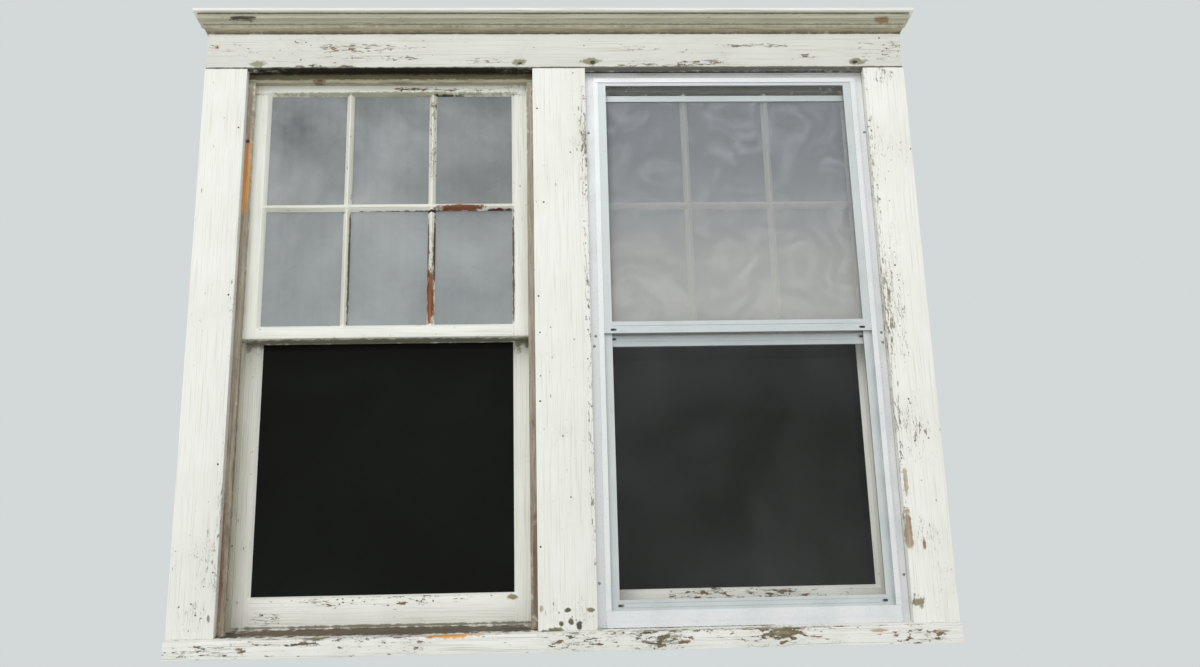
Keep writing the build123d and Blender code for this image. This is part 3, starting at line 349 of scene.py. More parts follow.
old_pine = bare_pine("sawn_pine_aged", "#B99A6E", "#8F6E45", "#7A664C")
sill_paint = aged_paint(
    "sill_oil_paint_flaking",
    paint="#E6E7E1",
    grime="#B3B0A0",
    wood="#7D705A",
    crack=0.75,
    chip=0.5,
    speck=0.55,
    worn=[
        ((-0.84, -0.053, 0.02), (0.13, 0.03, 0.022), 0.35),
        ((-0.62, -0.053, 0.03), (0.05, 0.03, 0.010), 0.5),
        ((0.24, -0.053, 0.02), (0.10, 0.03, 0.02), 0.4),
        ((0.52, -0.053, 0.03), (0.08, 0.03, 0.02), 0.5),
        ((0.0, -0.053, 0.03), (0.12, 0.03, 0.03), 0.2),
        ((0.45, -0.045, 0.045), (0.6, 0.02, 0.012), 0.4),
        ((-0.45, -0.045, 0.046), (0.5, 0.02, 0.008), 0.3),
        ((0.82, -0.053, 0.02), (0.16, 0.03, 0.03), 0.25),
    ],
    marks=[
        ((-0.4575, 0.025, 0.062), (0.9, 0.085, 0.05), "#5F4F39", 1.0),
        ((-0.36, 0.0, 0.056), (0.30, 0.045, 0.03), "#4C4432", 0.85),
        ((-0.13, 0.01, 0.056), (0.09, 0.045, 0.03), "#413927", 0.9),
        ((-0.81, 0.0, 0.056), (0.05, 0.045, 0.03), "#4A4130", 0.85),
        ((-0.60, -0.048, 0.043), (0.05, 0.014, 0.008), "#74704F", 0.9),
        ((-0.275, -0.046, 0.046), (0.105, 0.024, 0.017), "#DDA05A", 1.0),
        ((0.525, -0.05, 0.032), (0.05, 0.02, 0.012), "#7C7452", 0.9),
        ((0.75, -0.053, 0.033), (0.035, 0.02, 0.006), "#A9713F", 0.7),
        ((0.90, -0.053, 0.028), (0.04, 0.02, 0.006), "#9C6F49", 0.7),
    ],
)
room_edge = 0.1
wall_edge = 0.002


def under_or_inside(middle, normal):
    """True for the sill's faces on the room side, and for its underside within the wall."""
    return middle.y > room_edge or (middle.y > wall_edge and normal.z < 0)


timber(
    "sill",
    "frame",
    [sill_paint, old_pine],
    ease=0.0015,
    hidden=under_or_inside,
)

# Head jamb, pulley stiles and pocket covers: pine boards that line each opening. The stiles are
# nailed into the head and stand on the sill; only what faces the opening was ever painted.
jamb_paint = aged_paint(
    "jamb_oil_paint_worn",
    paint="#D9D8C8",
    grime="#9C9678",
    wood="#8A7452",
    crack=0.45,
    chip=0.25,
    speck=0.2,
)
unit_middle = 0.4575
half_opening = 0.381
opening_top = cad_high[2] - 0.17
face_play = 0.0002


def outside_opening(middle, normal):
    """True for a jamb's faces that the weight box and the wall hide."""
    from_middle = abs(abs(middle.x) - unit_middle)
    return from_middle > half_opening + face_play or middle.z > opening_top


for jamb in ("head_jamb", "pulley_stiles", "pocket_covers"):
    timber(jamb, "frame", [jamb_paint, old_pine], hidden=outside_opening)

# Blind stops, parting beads and inner stops: strips that form the channels the sashes slide in.
# They are nailed to the jambs; the blind stops carry the street paint and the most weather.
stop_paint = aged_paint(
    "blind_stop_paint_weathered_with_painted_shade",
    paint="#DAD9C9",
    grime="#8C8461",
    wood="#7B684A",
    crack=0.8,
    chip=0.5,
    speck=0.35,
    worn=[
        ((-0.832, 0.0, 0.35), (0.05, 0.03, 0.5), 0.25),
        ((-0.083, 0.0, 0.30), (0.05, 0.03, 0.5), 0.25),
    ],
    marks=[
        # Down both side stops of the left opening: taupe weathered paint, darkened further as painted
        # shade in the recess behind the casings
        ((-0.836, 0.0, 0.75), (0.026, 0.03, 1.7), "#A39583", 0.9),
        ((-0.080, 0.0, 0.75), (0.024, 0.03, 1.7), "#A09280", 0.9),
        ((-0.842, 0.0, 0.20), (0.010, 0.03, 0.26), "#8F6C53", 0.7),
        ((-0.076, 0.0, 0.20), (0.012, 0.03, 0.24), "#7D6852", 0.8),
        ((-0.836, 0.0, 1.25), (0.016, 0.03, 0.16), "#D69A57", 1.0),
        ((-0.838, 0.0, 1.353), (0.009, 0.03, 0.009), "#5B3A20", 1.0),
        # Head stop: olive weathering, made darker as painted shade because it lies under the head
        # casing
        ((-0.4575, 0.0, 1.544), (3.0, 0.04, 0.030), "#635C3E", 0.95),
        ((-0.4575, 0.0, 1.528), (3.0, 0.04, 0.011), "#B4B196", 0.9),
        ((-0.6516, 0.0, 1.531), (0.026, 0.03, 0.013), "#7C6A50", 0.85),
        ((-0.6516, 0.0, 1.532), (0.010, 0.03, 0.006), "#5E4A36", 0.9),
        # Painted shadow right under the head casing
        ((-0.4575, 0.0, 1.557), (3.0, 0.04, 0.012), "#332F20", 0.9),
        ((-0.788, 0.0, 0.080), (0.012, 0.03, 0.010), "#33281B", 1.0),
    ],
)
timber("blind_stops", "frame", [stop_paint])
for strip in ("parting_beads", "inner_stops"):
    timber(strip, "frame", [jamb_paint], ease=0.0006)

# Casings: flat boards over the joint of frame and wall, one at each side and one on the mullion.
# Their feet are cut to the sill's slope; the paint cracks up and down the grain.
casing_face = -0.028
face_depth = 0.04


def on_casing(*places):
    """Places on the casings' street face, each written as x, z, two radii and what is there."""
    return [
        ((x, casing_face, z), (wide, face_depth, high), *rest)
        for x, z, wide, high, *rest in places
    ]


casing_paint = aged_paint(
    "casing_oil_paint_chalky",
    paint="#ECEDE7",
    grime="#D2D0C2",
    wood="#A89F8C",
    crack=0.55,
    chip=0.18,
    speck=0.1,
    worn=on_casing(
        (0.066, 1.15, 0.022, 0.5, 0.4),
        (0.068, 0.55, 0.014, 0.5, 0.35),
        (0.848, 0.85, 0.016, 1.0, 0.4),
        (0.880, 0.90, 0.03, 0.35, 0.22),
        (0.895, 1.53, 0.04, 0.04, 0.4),
        (-0.845, 0.7, 0.012, 0.9, 0.15),
        (0.0, 0.09, 0.10, 0.07, 0.2),
        (0.860, 0.10, 0.035, 0.03, 0.6),
        (0.90, 0.35, 0.07, 0.4, 0.14),
        (-0.90, 0.10, 0.07, 0.06, 0.15),
    ),
    marks=[((0.0, casing_face, 1.5555), (3.0, 0.05, 0.003), "#3F3A2C", 0.85)]
    + on_casing(
        (-0.0004, 0.099, 0.012, 0.009, "#4E4B36", 0.95),
        (0.0076, 0.072, 0.010, 0.013, "#5D5A41", 0.95),
        (0.0272, 0.061, 0.011, 0.016, "#46432F", 0.95),
        (0.0563, 0.098, 0.016, 0.008, "#77715A", 0.9),
        (-0.0308, 0.051, 0.026, 0.011, "#6F6B48", 0.95),
        (-0.0563, 0.047, 0.014, 0.008, "#6C6849", 0.9),
        (-0.0165, 0.067, 0.008, 0.008, "#4B4834", 0.9),
        (-0.064, 0.103, 0.007, 0.014, "#B39A8C", 0.8),
        (0.850, 0.275, 0.015, 0.075, "#B5A28B", 1.0),
        (0.887, 0.238, 0.006, 0.026, "#A98571", 0.95),
        (0.859, 0.099, 0.024, 0.014, "#938A6E", 0.95),
        (0.855, 0.401, 0.008, 0.050, "#B9AA93", 0.9),
        (-0.857, 0.097, 0.005, 0.012, "#8F8A76", 0.9),
    ),
)


def on_the_wall(middle, normal):
    """True for faces that lie against the wall."""
    return normal.y > 0.5


for casing in ("side_casings", "mullion_casing"):
    timber(
        casing, "frame", [casing_paint, old_pine], ease=0.0015, hidden=on_the_wall
    )

# Head casing: one board across both openings, set on the side casings. Its paint cracks along
# the board and has flaked in clusters.
head_paint = aged_paint(
    "head_casing_paint_cracked_with_painted_shade",
    paint="#DDDED6",
    grime="#C2BFB0",
    wood="#958B76",
    crack=0.6,
    chip=0.2,
    speck=0.1,
    worn=on_casing(
        (-0.535, 1.615, 0.18, 0.020, 0.42),
        (-0.470, 1.585, 0.16, 0.012, 0.35),
        (-0.66, 1.558, 0.24, 0.010, 0.5),
        (-0.21, 1.575, 0.12, 0.016, 0.42),
        (0.215, 1.614, 0.10, 0.012, 0.35),
        (0.39, 1.571, 0.12, 0.014, 0.45),
        (0.25, 1.562, 0.22, 0.008, 0.4),
        (0.55, 1.622, 0.14, 0.010, 0.5),
        (0.69, 1.590, 0.05, 0.008, 0.5),
        (0.90, 1.61, 0.11, 0.05, 0.4),
        (-0.86, 1.60, 0.08, 0.03, 0.12),
    ),
    marks=[
        # Painted shade along the head casing's lower edge and, over the left opening, on its
        # underside, which also holds some dark algae
        ((0.0, casing_face, 1.556), (3.0, 0.05, 0.004), "#4A4536", 0.8),
        ((-0.4575, -0.010, 1.5545), (0.68, 0.05, 0.004), "#2A2719", 1.0),
        ((0.0, casing_face, 1.661), (3.0, 0.05, 0.0045), "#5B5442", 0.8),
    ]
    + on_casing(
        (-0.815, 1.568, 0.034, 0.014, "#85815C", 0.75),
        (-0.105, 1.573, 0.030, 0.016, "#827E5A", 0.8),
        (-0.105, 1.569, 0.010, 0.007, "#3B3823", 0.95),
        (0.088, 1.574, 0.040, 0.015, "#827E5A", 0.8),
        (0.094, 1.571, 0.011, 0.007, "#3B3823", 0.95),
        (0.825, 1.573, 0.034, 0.015, "#7A765A", 0.8),
        (0.822, 1.571, 0.011, 0.007, "#332F1E", 0.95),
        (-0.927, 1.619, 0.012, 0.011, "#B98C70", 0.8),
    ),
)
timber(
    "head_casing",
    "frame",
    [head_paint, old_pine],
    ease=0.0015,
    hidden=on_the_wall,
)

# Casing nails: cut steel nails driven through the casings into the frame. Their heads stand
# just proud where the boards have shrunk, and each has rusted through its paint.
nail_width = 0.005
nail_rise = 0.0006
nail_taper = 0.8
nails = [
    (-0.9272, 1.6190),
    (0.8962, 1.6452),
    (-0.8573, 1.3801),
    (-0.8565, 0.9100),
    (-0.8570, 0.4700),
    (-0.0604, 1.4327),
    (-0.0455, 1.1596),
    (-0.0621, 0.8977),
    (-0.0610, 0.6180),
    (-0.0640, 0.2520),
    (0.8556, 1.1614),
    (0.8800, 0.9734),
    (0.8820, 0.6100),
]
nail_rust, tree = new_tree("nail_head_rusted_steel")

# Rust: brown scale in grains 1 mm across
place = add_node(tree, "TexCoord", {}, out="Object")
scale_noise = add_node(tree, "TexNoise", {"Vector": place, "Scale": 900.0, "Detail": 3.0})
ends = {0: scale_noise, 6: srgb("#3A2A20"), 7: srgb("#7A5238")}
colour = add_node(tree, "Mix", ends, out=2, data_type="RGBA")
normal = add_node(tree, "Bump", {"Height": scale_noise, "Strength": 0.6, "Distance": 0.0003})
links = {"Base Color": colour, "Roughness": 0.85, "Normal": normal}
surface = add_node(tree, "BsdfPrincipled", links)
add_node(tree, "OutputMaterial", {"Surface": surface})


def round_head(shape, at, width, rise, taper, sides):
    """Adds a nail's or screw's head that stands out to the street, and returns its corners."""
    x, face, z = at
    facing = Matrix.Translation((x, face - rise / 2, z)) @ Matrix.Rotation(
        math.radians(90), 4, "X"
    )
    return bmesh.ops.create_cone(
        shape,
        cap_ends=True,
        segments=sides,
        radius1=width / 2,
        radius2=width / 2 * taper,
        depth=rise,
        matrix=facing,
    )["verts"]


shape = bmesh.new()
for x, z in nails:
    round_head(shape, (x, casing_face, z), nail_width, nail_rise, nail_taper, sides=16)
piece = new_piece("casing_nails", shape, [nail_rust])
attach(piece, "frame")

# Crown moulding and drip cap: a bed moulding planted on the head casing and mitred round its
# ends, under a thin board that throws the rain clear. The moulding's paint is darker, and darker
# still in bands along its hollows; under the drip cap lies a painted shadow.
crown_paint = aged_paint(
    "crown_oil_paint_dark_with_painted_shadow",
    paint="#BDBCA8",
    grime="#8C866F",
    wood="#7C745D",
    crack=0.6,
    chip=0.25,
    speck=0.25,
    worn=[((-0.856, -0.054, 1.695), (0.07, 0.03, 0.016), 0.5)],
    marks=[
        ((0.0, -0.04, 1.668), (3.0, 0.05, 0.012), "#A79E84", 0.85),
        ((0.0, -0.05, 1.681), (3.0, 0.05, 0.004), "#7D7659", 0.75),
        # Painted shadow under the drip cap
        ((0.0, -0.05, 1.708), (3.0, 0.05, 0.004), "#6A6247", 0.8),
        ((0.0, -0.03, 1.662), (3.0, 0.05, 0.004), "#5F573F", 0.8),
        ((-0.856, -0.054, 1.6955), (0.054, 0.02, 0.006), "#4F4A37", 1.0),
        ((0.902, -0.054, 1.690), (0.03, 0.03, 0.014), "#9A7A52", 0.85),
    ],
)
cap_paint = aged_paint(
    "drip_cap_paint",
    paint="#EFEFEA",
    grime="#BDBBA9",
    wood="#8D836B",
    crack=0.4,
    chip=0.15,
    speck=0.2,
)
timber("crown_moulding", "frame", [crown_paint], ease=0.0006)
timber("drip_cap", "frame", [cap_paint], ease=0.001)

# Pulleys: a cast iron case let into each stile and gone brown there, a steel pin through both
# cheeks, and a cast wheel that the cord has kept cleaner than the case.


def cast_iron(name, base, rust, rusting, metal):
    """Cast iron, which gives the eye a sandy skin, dull where it is clean and brown with rust."""
    material, tree = new_tree(name)
    place = add_node(tree, "TexCoord", {}, out="Object")

    # Rust patches 15 mm across, sand grain 0.8 mm across
    patch = add_node(
        tree, "TexNoise", {"Vector": place, "Scale": 65.0, "Detail": 5.0, "Roughness": 0.6}
    )
    links = {"Value": patch, "From Min": 0.75 - rusting, "From Max": 0.9 - rusting}
    rusty = add_node(tree, "MapRange", links, interpolation_type="SMOOTHSTEP")
    colour = add_node(tree, "Mix", {0: rusty, 6: srgb(base), 7: srgb(rust)}, out=2, data_type="RGBA")
    sand = add_node(tree, "TexNoise", {"Vector": place, "Scale": 1200.0, "Detail": 2.0})
    normal = add_node(tree, "Bump", {"Height": sand, "Strength": 0.5, "Distance": 0.0003})
    metallic = add_node(tree, "MapRange", {"Value": rusty, "To Min": metal, "To Max": 0.0})
    rough = add_node(tree, "MapRange", {"Value": rusty, "To Min": 0.5, "To Max": 0.85})
    links = {"Base Color": colour, "Metallic": metallic, "Roughness": rough, "Normal": normal}
    surface = add_node(tree, "BsdfPrincipled", links)
    add_node(tree, "OutputMaterial", {"Surface": surface})
    return material


def dress(node, material):
    """Gives a CAD node that keeps its shape a finish."""
    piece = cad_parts[node]
    if not piece.material_slots:
        piece.data.materials.append(material)
    for slot in piece.material_slots:
        slot.material = material


units = ("left", "right")
sashes = ("upper", "lower")
hands = ("left", "right")
case_iron = cast_iron("pulley_case_cast_iron", "#6B6459", "#6E4A2F", 0.28, 0.5)
wheel_iron = cast_iron("pulley_wheel_cast_iron", "#8A8378", "#5E4029", 0.18, 0.8)
dress("pulley_cases", case_iron)
for unit in units:
    for sash in sashes:
        for hand in hands:
            dress(f"{unit}_{sash}_{hand}_pulley", wheel_iron)

# Sash weights: bars of grey iron cast in sand, hung in the box behind each stile, with a hole
# down the head and a pocket where the cord's knot sits.
weight_iron = cast_iron("sash_weight_cast_iron", "#4C4843", "#714A30", 0.3, 0.5)
for unit in units:
    for sash in sashes:
        dress(f"{unit}_{sash}_weights", weight_iron)

# Sash cords: braided cotton, 6 mm thick, waxed and gone grey. Each runs from a knot in the
# sash's edge over its wheel to a knot in the weight, so its two runs lengthen and shorten.
cord_width = 0.006
wheel_radius = 0.025
wheel_inset = 0.019
cord_inset = 0.006
knot_width = 0.010
knot_core = 0.92
knot_swell = 0.08
knot_lobes = 3
knot_twist = 900
knot_seat = 0.002
pulley_height = 1.44022
channels = {"upper": 0.037, "lower": 0.0857}
knot_heights = {"upper": 1.31982, "lower": 0.61122}
eye_heights = {"upper": 0.532, "lower": 1.352}

cotton, tree = new_tree("sash_cord_braided_cotton")

# The braid: 8 strands each way round the cord, which cross every 4 mm along it
strands = 8
crossing = 0.004
braid_place = add_node(tree, "Attribute", {}, out="Vector", attribute_name="braid")
turns = add_node(tree, "SeparateXYZ", {"Vector": braid_place}, out=0)
metres = add_node(tree, "SeparateXYZ", {"Vector": braid_place}, out=1)
lay = math.pi / (2 * crossing)
ways = []
for climb in (lay, -lay):
    climb = add_node(tree, "Math", {0: metres, 1: climb}, operation="MULTIPLY")
    way = add_node(tree, "Math", {0: turns, 1: strands / 2, 2: climb}, operation="MULTIPLY_ADD")
    ways.append(add_node(tree, "Math", {0: way}, operation="SINE"))
braid = add_node(tree, "Math", {0: ways[0], 1: ways[1]}, operation="MULTIPLY")
place = add_node(tree, "TexCoord", {}, out="Object")
soil = add_node(tree, "TexNoise", {"Vector": place, "Scale": 25.0, "Detail": 4.0})
ends = {0: soil, 6: srgb("#C9BFA2"), 7: srgb("#8C8066")}
colour = add_node(tree, "Mix", ends, out=2, data_type="RGBA")
# Painted shade: the grooves between strands are darkened where the braid's relief is low
painted_groove_shade = add_node(tree, "MapRange", {"Value": braid, "From Min": -0.6, "From Max": 0.1})
ends = {0: painted_groove_shade, 6: srgb("#6B614C"), 7: colour}
colour = add_node(tree, "Mix", ends, out=2, data_type="RGBA")
normal = add_node(tree, "Bump", {"Height": braid, "Strength": 0.8, "Distance": 0.0005})
links = {"Base Color": colour, "Roughness": 0.9, "Normal": normal, "Sheen Weight": 0.2}
surface = add_node(tree, "BsdfPrincipled", links)
add_node(tree, "OutputMaterial", {"Surface": surface})


def cord_piece(name, shape, axis_at):
    """Finishes a stretch of cord: braid attribute, smooth faces, cotton."""
    bmesh.ops.recalc_face_normals(shape, faces=shape.faces)
    layer = shape.verts.layers.float_vector.new("braid")
    for corner in shape.verts:
        middle, length = axis_at(corner.co)
        off = corner.co - middle
        across = Vector((off.x, off.z)).length if abs(off.x) + abs(off.z) > 1e-9 else 0.0
        corner[layer] = (math.atan2(off.y, math.copysign(across, off.x)), length, 0.0)
    piece = new_piece(name, shape, [cotton], smooth=True)
    return piece


def cord_run(name, x, y, low, high, steps):
    """A hanging stretch of cord, with rings enough to bend between two bodies."""
    shape = bmesh.new()
    at = Matrix.Translation((x, y, low))
    bmesh.ops.create_circle(shape, radius=cord_width / 2, segments=12, matrix=at)
    ring = shape.edges[:]
    for _ in range(steps):
        made = bmesh.ops.extrude_edge_only(shape, edges=ring)["geom"]
        corners = {part for part in made if isinstance(part, bmesh.types.BMVert)}
        bmesh.ops.translate(shape, verts=list(corners), vec=(0, 0, (high - low) / steps))
        ring = [
            part
            for part in made
            if isinstance(part, bmesh.types.BMEdge) and corners.issuperset(part.verts)
        ]
    return cord_piece(name, shape, lambda point: (Vector((x, y, point.z)), point.z))


def cord_over_wheel(name, x_sash, x_wheel, y, side):
    """The half turn of cord that lies in the wheel's groove."""
    shape = bmesh.new()
    at = Matrix.Translation((x_sash, y, pulley_height))
    bmesh.ops.create_circle(shape, radius=cord_width / 2, segments=12, matrix=at)
    hub = Vector((x_wheel, y, pulley_height))
    bmesh.ops.spin(
        shape,
        geom=shape.verts[:] + shape.edges[:],
        cent=hub,
        axis=(0, 1, 0),
        angle=side * math.pi,
        steps=20,
    )

    def axis_at(point):
        out = Vector((point.x - hub.x, 0, point.z - hub.z)).normalized()
        turn = math.atan2(out.z, -side * out.x)
        return hub + out * wheel_radius, pulley_height + turn * wheel_radius

    return cord_piece(name, shape, axis_at)


def cord_knot(name, x, y, z):
    """A stopper knot: a ball of cord pulled tight, its turns drawn in with a twist."""
    shape = bmesh.new()
    at = Matrix.Translation((x, y, z))
    core = knot_width / 2 * knot_core
    bmesh.ops.create_icosphere(shape, subdivisions=4, radius=core, matrix=at)
    for corner in shape.verts:
        out = corner.co - Vector((x, y, z))
        turn = math.atan2(out.y, out.x)
        swell = 1 + knot_swell * math.sin(knot_lobes * turn + out.z * knot_twist)
        corner.co = Vector((x, y, z)) + out * swell
    return cord_piece(name, shape, lambda point: (Vector((x, y, z)), point.z))


for unit, middle in (("left", -unit_middle), ("right", unit_middle)):
    for sash in sashes:
        y = channels[sash]
        for side, hand in ((-1, "left"), (1, "right")):
            cord = f"{unit}_{sash}_{hand}_cord"
            jamb_x = middle + side * half_opening
            x_sash = jamb_x - side * cord_inset
            x_wheel = jamb_x + side * wheel_inset
            x_weight = x_wheel + side * wheel_radius
            run = cord_run(cord + "_at_sash", x_sash, y, knot_heights[sash], pulley_height, 16)
            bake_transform(run)
            run = cord_run(cord + "_at_weight", x_weight, y, eye_heights[sash], pulley_height, 24)
            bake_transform(run)
            arc = cord_over_wheel(cord + "_over_wheel", x_sash, x_wheel, y, side)
            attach(arc, "frame")
            knot = cord_knot(cord + "_sash_knot", x_sash - side * knot_seat, y, knot_heights[sash])
            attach(knot, f"{unit}_{sash}_sash")
            knot = cord_knot(cord + "_weight_knot", x_weight, y, eye_heights[sash])
            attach(knot, f"{unit}_{sash}_weights")
        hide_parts(f"{unit}_{sash}_cords")

# Sashes: stiles, rails and muntins of 35 mm pine, tenoned and pinned, with the panes bedded in
# putty from the street side. The paint is a cream oil paint that runs over the putty.
sash_paint = aged_paint(
    "sash_oil_paint_cream",
    paint="#ECEDE5",
    grime="#CBCAB9",
    wood="#80684A",
    crack=0.45,
    chip=0.18,
    speck=0.12,
    worn=[
        ((-0.4575, 0.02, 0.80), (0.5, 0.03, 0.03), 0.12),
        ((-0.4575, 0.07, 0.14), (0.5, 0.03, 0.02), 0.3),
        ((-0.74, 0.07, 0.10), (0.06, 0.03, 0.03), 0.35),
        ((-0.31, 0.02, 1.515), (0.24, 0.03, 0.010), 0.5),
        ((0.4575, 0.07, 0.12), (0.36, 0.03, 0.06), 0.4),
    ],
    marks=[
        ((-0.4575, 0.02, 1.5020), (0.535, 0.04, 0.010), "#A3A687", 0.8),
        # Painted shade on the right upper sash's top rail, deep behind the storm header
        ((0.4575, 0.03, 1.515), (0.8, 0.06, 0.05), "#7C7B74", 0.85),
        ((-0.295, 0.02, 1.4995), (0.07, 0.03, 0.006), "#34321F", 0.95),
        ((-0.1275, 0.028, 1.0), (0.005, 0.03, 0.26), "#4A3426", 0.9),
        # Painted shade along the meeting rails, under the upper sash's bottom rail
        ((-0.4575, 0.06, 0.812), (0.95, 0.045, 0.05), "#716D4E", 0.85),
        ((-0.136, 0.07, 0.141), (0.022, 0.03, 0.010), "#8A7A5A", 0.9),
        ((-0.4575, 0.08, 0.078), (0.9, 0.04, 0.006), "#6E6748", 0.8),
    ],
)
muntin_paint = aged_paint(
    "muntin_oil_paint_peeling_with_painted_shade",
    paint="#E6E7DC",
    grime="#BDBBA6",
    wood="#7C5A3C",
    crack=0.5,
    chip=0.25,
    speck=0.1,
    worn=[
        ((-0.342, 0.02, 1.37), (0.03, 0.03, 0.2), 0.3),
        ((-0.345, 0.02, 1.05), (0.03, 0.03, 0.1), 0.25),
    ],
    marks=[
        # Dark line under the horizontal muntin: painted shade on its underside, where putty is also
        # missing
        ((-0.345, 0.028, 1.1565), (0.40, 0.03, 0.0065), "#35231A", 1.0),
        ((-0.270, 0.02, 1.167), (0.10, 0.03, 0.016), "#7F4C34", 1.0),
        ((-0.165, 0.02, 1.160), (0.08, 0.03, 0.007), "#4A2A1E", 1.0),
        ((-0.347, 0.02, 0.905), (0.018, 0.03, 0.13), "#98603E", 1.0),
        ((-0.3365, 0.028, 1.05), (0.005, 0.03, 0.17), "#4A2E20", 0.95),
        ((-0.3535, 0.028, 1.05), (0.004, 0.03, 0.15), "#4A3426", 0.9),
        ((-0.5615, 0.028, 1.0), (0.004, 0.03, 0.26), "#4A3426", 0.9),
    ],
)
for unit in units:
    for sash in sashes:
        body = f"{unit}_{sash}_sash"
        timber(body, body, [sash_paint], ease=0.0007)
    timber(
        f"{unit}_upper_muntins", f"{unit}_upper_sash", [muntin_paint], ease=0.0005
    )

# Panes: 3 mm drawn glass, a little wavy. The upper panes carry years of dust and lime, the
# lower ones were washed. Each is painted dark as painted shade, for the unlit room behind it;
# the grey of the upper panes is partly their dust and partly a painted reflection, darker
# towards the head as painted shade.


def window_glass(name, low, high, levels, film, dusting, alpha, shine):
    """Old window glass, which gives the eye slow waves, a film of dust and a dull depth of one
    tone at the first level and another at the second.
    """
    material, tree = new_tree(name)
    place = add_node(tree, "TexCoord", {}, out="Object")
    height = add_node(tree, "SeparateXYZ", {"Vector": place}, out=2)
    links = {"Value": height, "From Min": levels[0], "From Max": levels[1]}
    rise = add_node(tree, "MapRange", links, interpolation_type="SMOOTHSTEP")
    body = add_node(tree, "Mix", {0: rise, 6: srgb(low), 7: srgb(high)}, out=2, data_type="RGBA")

    # Dust in clouds 300 mm across, wiping marks 60 mm long, rain runs 12 mm apart
    links = {"Vector": place, "Scale": 3.2, "Detail": 4.0, "Distortion": 0.5}
    cloud = add_node(tree, "TexNoise", links)
    links = {"Vector": place, "Scale": 16.0, "Detail": 5.0, "Roughness": 0.7, "Distortion": 1.8}
    wiped = add_node(tree, "TexNoise", links)
    drawn = add_node(tree, "Mapping", {"Vector": place, "Scale": (80.0, 80.0, 2.5)})
    run = add_node(tree, "TexNoise", {"Vector": drawn, "Scale": 1.0, "Detail": 3.0})
    dust = add_node(tree, "Math", {0: run, 1: 0.08, 2: cloud}, operation="MULTIPLY_ADD")
    dust = add_node(tree, "Math", {0: wiped, 1: 0.16, 2: dust}, operation="MULTIPLY_ADD")
    links = {"Value": dust, "From Min": 0.42, "From Max": 0.85, "To Max": dusting}
    dust = add_node(tree, "MapRange", links)
    colour = add_node(tree, "Mix", {0: dust, 6: body, 7: srgb(film)}, out=2, data_type="RGBA")
    rough = add_node(tree, "MapRange", {"Value": dust, "To Min": 0.03, "To Max": 0.4})
    links = {"Value": dust, "To Min": alpha, "To Max": min(1, alpha + 0.4)}
    see = add_node(tree, "MapRange", links)

    # Waves of the drawing, 60 mm apart
    wave = add_node(tree, "TexNoise", {"Vector": place, "Scale": 16.0, "Detail": 1.0})
    normal = add_node(tree, "Bump", {"Height": wave, "Strength": 0.3, "Distance": 0.0005})
    links = {
        "Base Color": colour,
        "Roughness": rough,
        "Alpha": see,
        "IOR": 1.5,
        "Specular IOR Level": shine,
        "Normal": normal,
    }
    surface = add_node(tree, "BsdfPrincipled", links)
    add_node(tree, "OutputMaterial", {"Surface": surface})
    return material


# Upper panes: dust over a painted grey reflection, darker towards the head as painted shade
upper_glass = window_glass(
    "upper_pane_glass_dust_and_painted_reflection", "#8F9496", "#575B5F", (1.0, 1.5), "#C6CACA", 0.5, 0.82, 0.35
)
# Lower panes: painted near black as painted shade, for the unlit room behind them
lower_glass = window_glass(
    "lower_pane_glass_painted_dark", "#0B0C09", "#0B0C08", (0.15, 0.8), "#33372F", 0.15, 0.94, 0.08
)
for unit in units:
    dress(f"{unit}_upper_panes", upper_glass)
    dress(f"{unit}_lower_pane", lower_glass)

# Sash locks and lifts: cast locks on the meeting rails, painted in with the sashes, and hook
# lifts of japanned iron screwed to the bottom rails on the room side.


def hardware_paint(name, paint, worn_to, share, metal):
    """Brushed enamel on cast iron, which gives the eye thick soft edges and rubbed high spots."""
    material, tree = new_tree(name)
    place = add_node(tree, "TexCoord", {}, out="Object")

    # Rubbed spots 7 mm across
    rub = add_node(
        tree, "TexNoise", {"Vector": place, "Scale": 140.0, "Detail": 5.0, "Roughness": 0.6}
    )
    links = {"Value": rub, "From Min": 0.78 - share, "From Max": 0.8 - share}
    bare = add_node(tree, "MapRange", links)
    ends = {0: bare, 6: srgb(paint), 7: srgb(worn_to)}
    colour = add_node(tree, "Mix", ends, out=2, data_type="RGBA")
    metallic = add_node(tree, "MapRange", {"Value": bare, "To Min": 0.0, "To Max": metal})
    rough = add_node(tree, "MapRange", {"Value": rub, "To Min": 0.3, "To Max": 0.55})
    normal = add_node(tree, "Bump", {"Height": rub, "Strength": 0.3, "Distance": 0.0003})
    links = {"Base Color": colour, "Metallic": metallic, "Roughness": rough, "Normal": normal}
    surface = add_node(tree, "BsdfPrincipled", links)
    add_node(tree, "OutputMaterial", {"Surface": surface})
    return material


lock_paint = hardware_paint("lock_brushed_enamel", "#EDEDE6", "#6B6152", 0.1, 0.6)
lift_japan = hardware_paint("lift_black_japan", "#1D1A17", "#6E5A3C", 0.15, 0.8)
for unit in units:
    for lock_part in ("base", "cam", "keeper"):
        dress(f"{unit}_lock_{lock_part}", lock_paint)
    dress(f"{unit}_sash_lifts", lift_japan)

# Storm frame: folded and extruded aluminium, screwed over the right-hand blind stops. It was
# left in mill finish, and weather has turned it a dull bluish white.


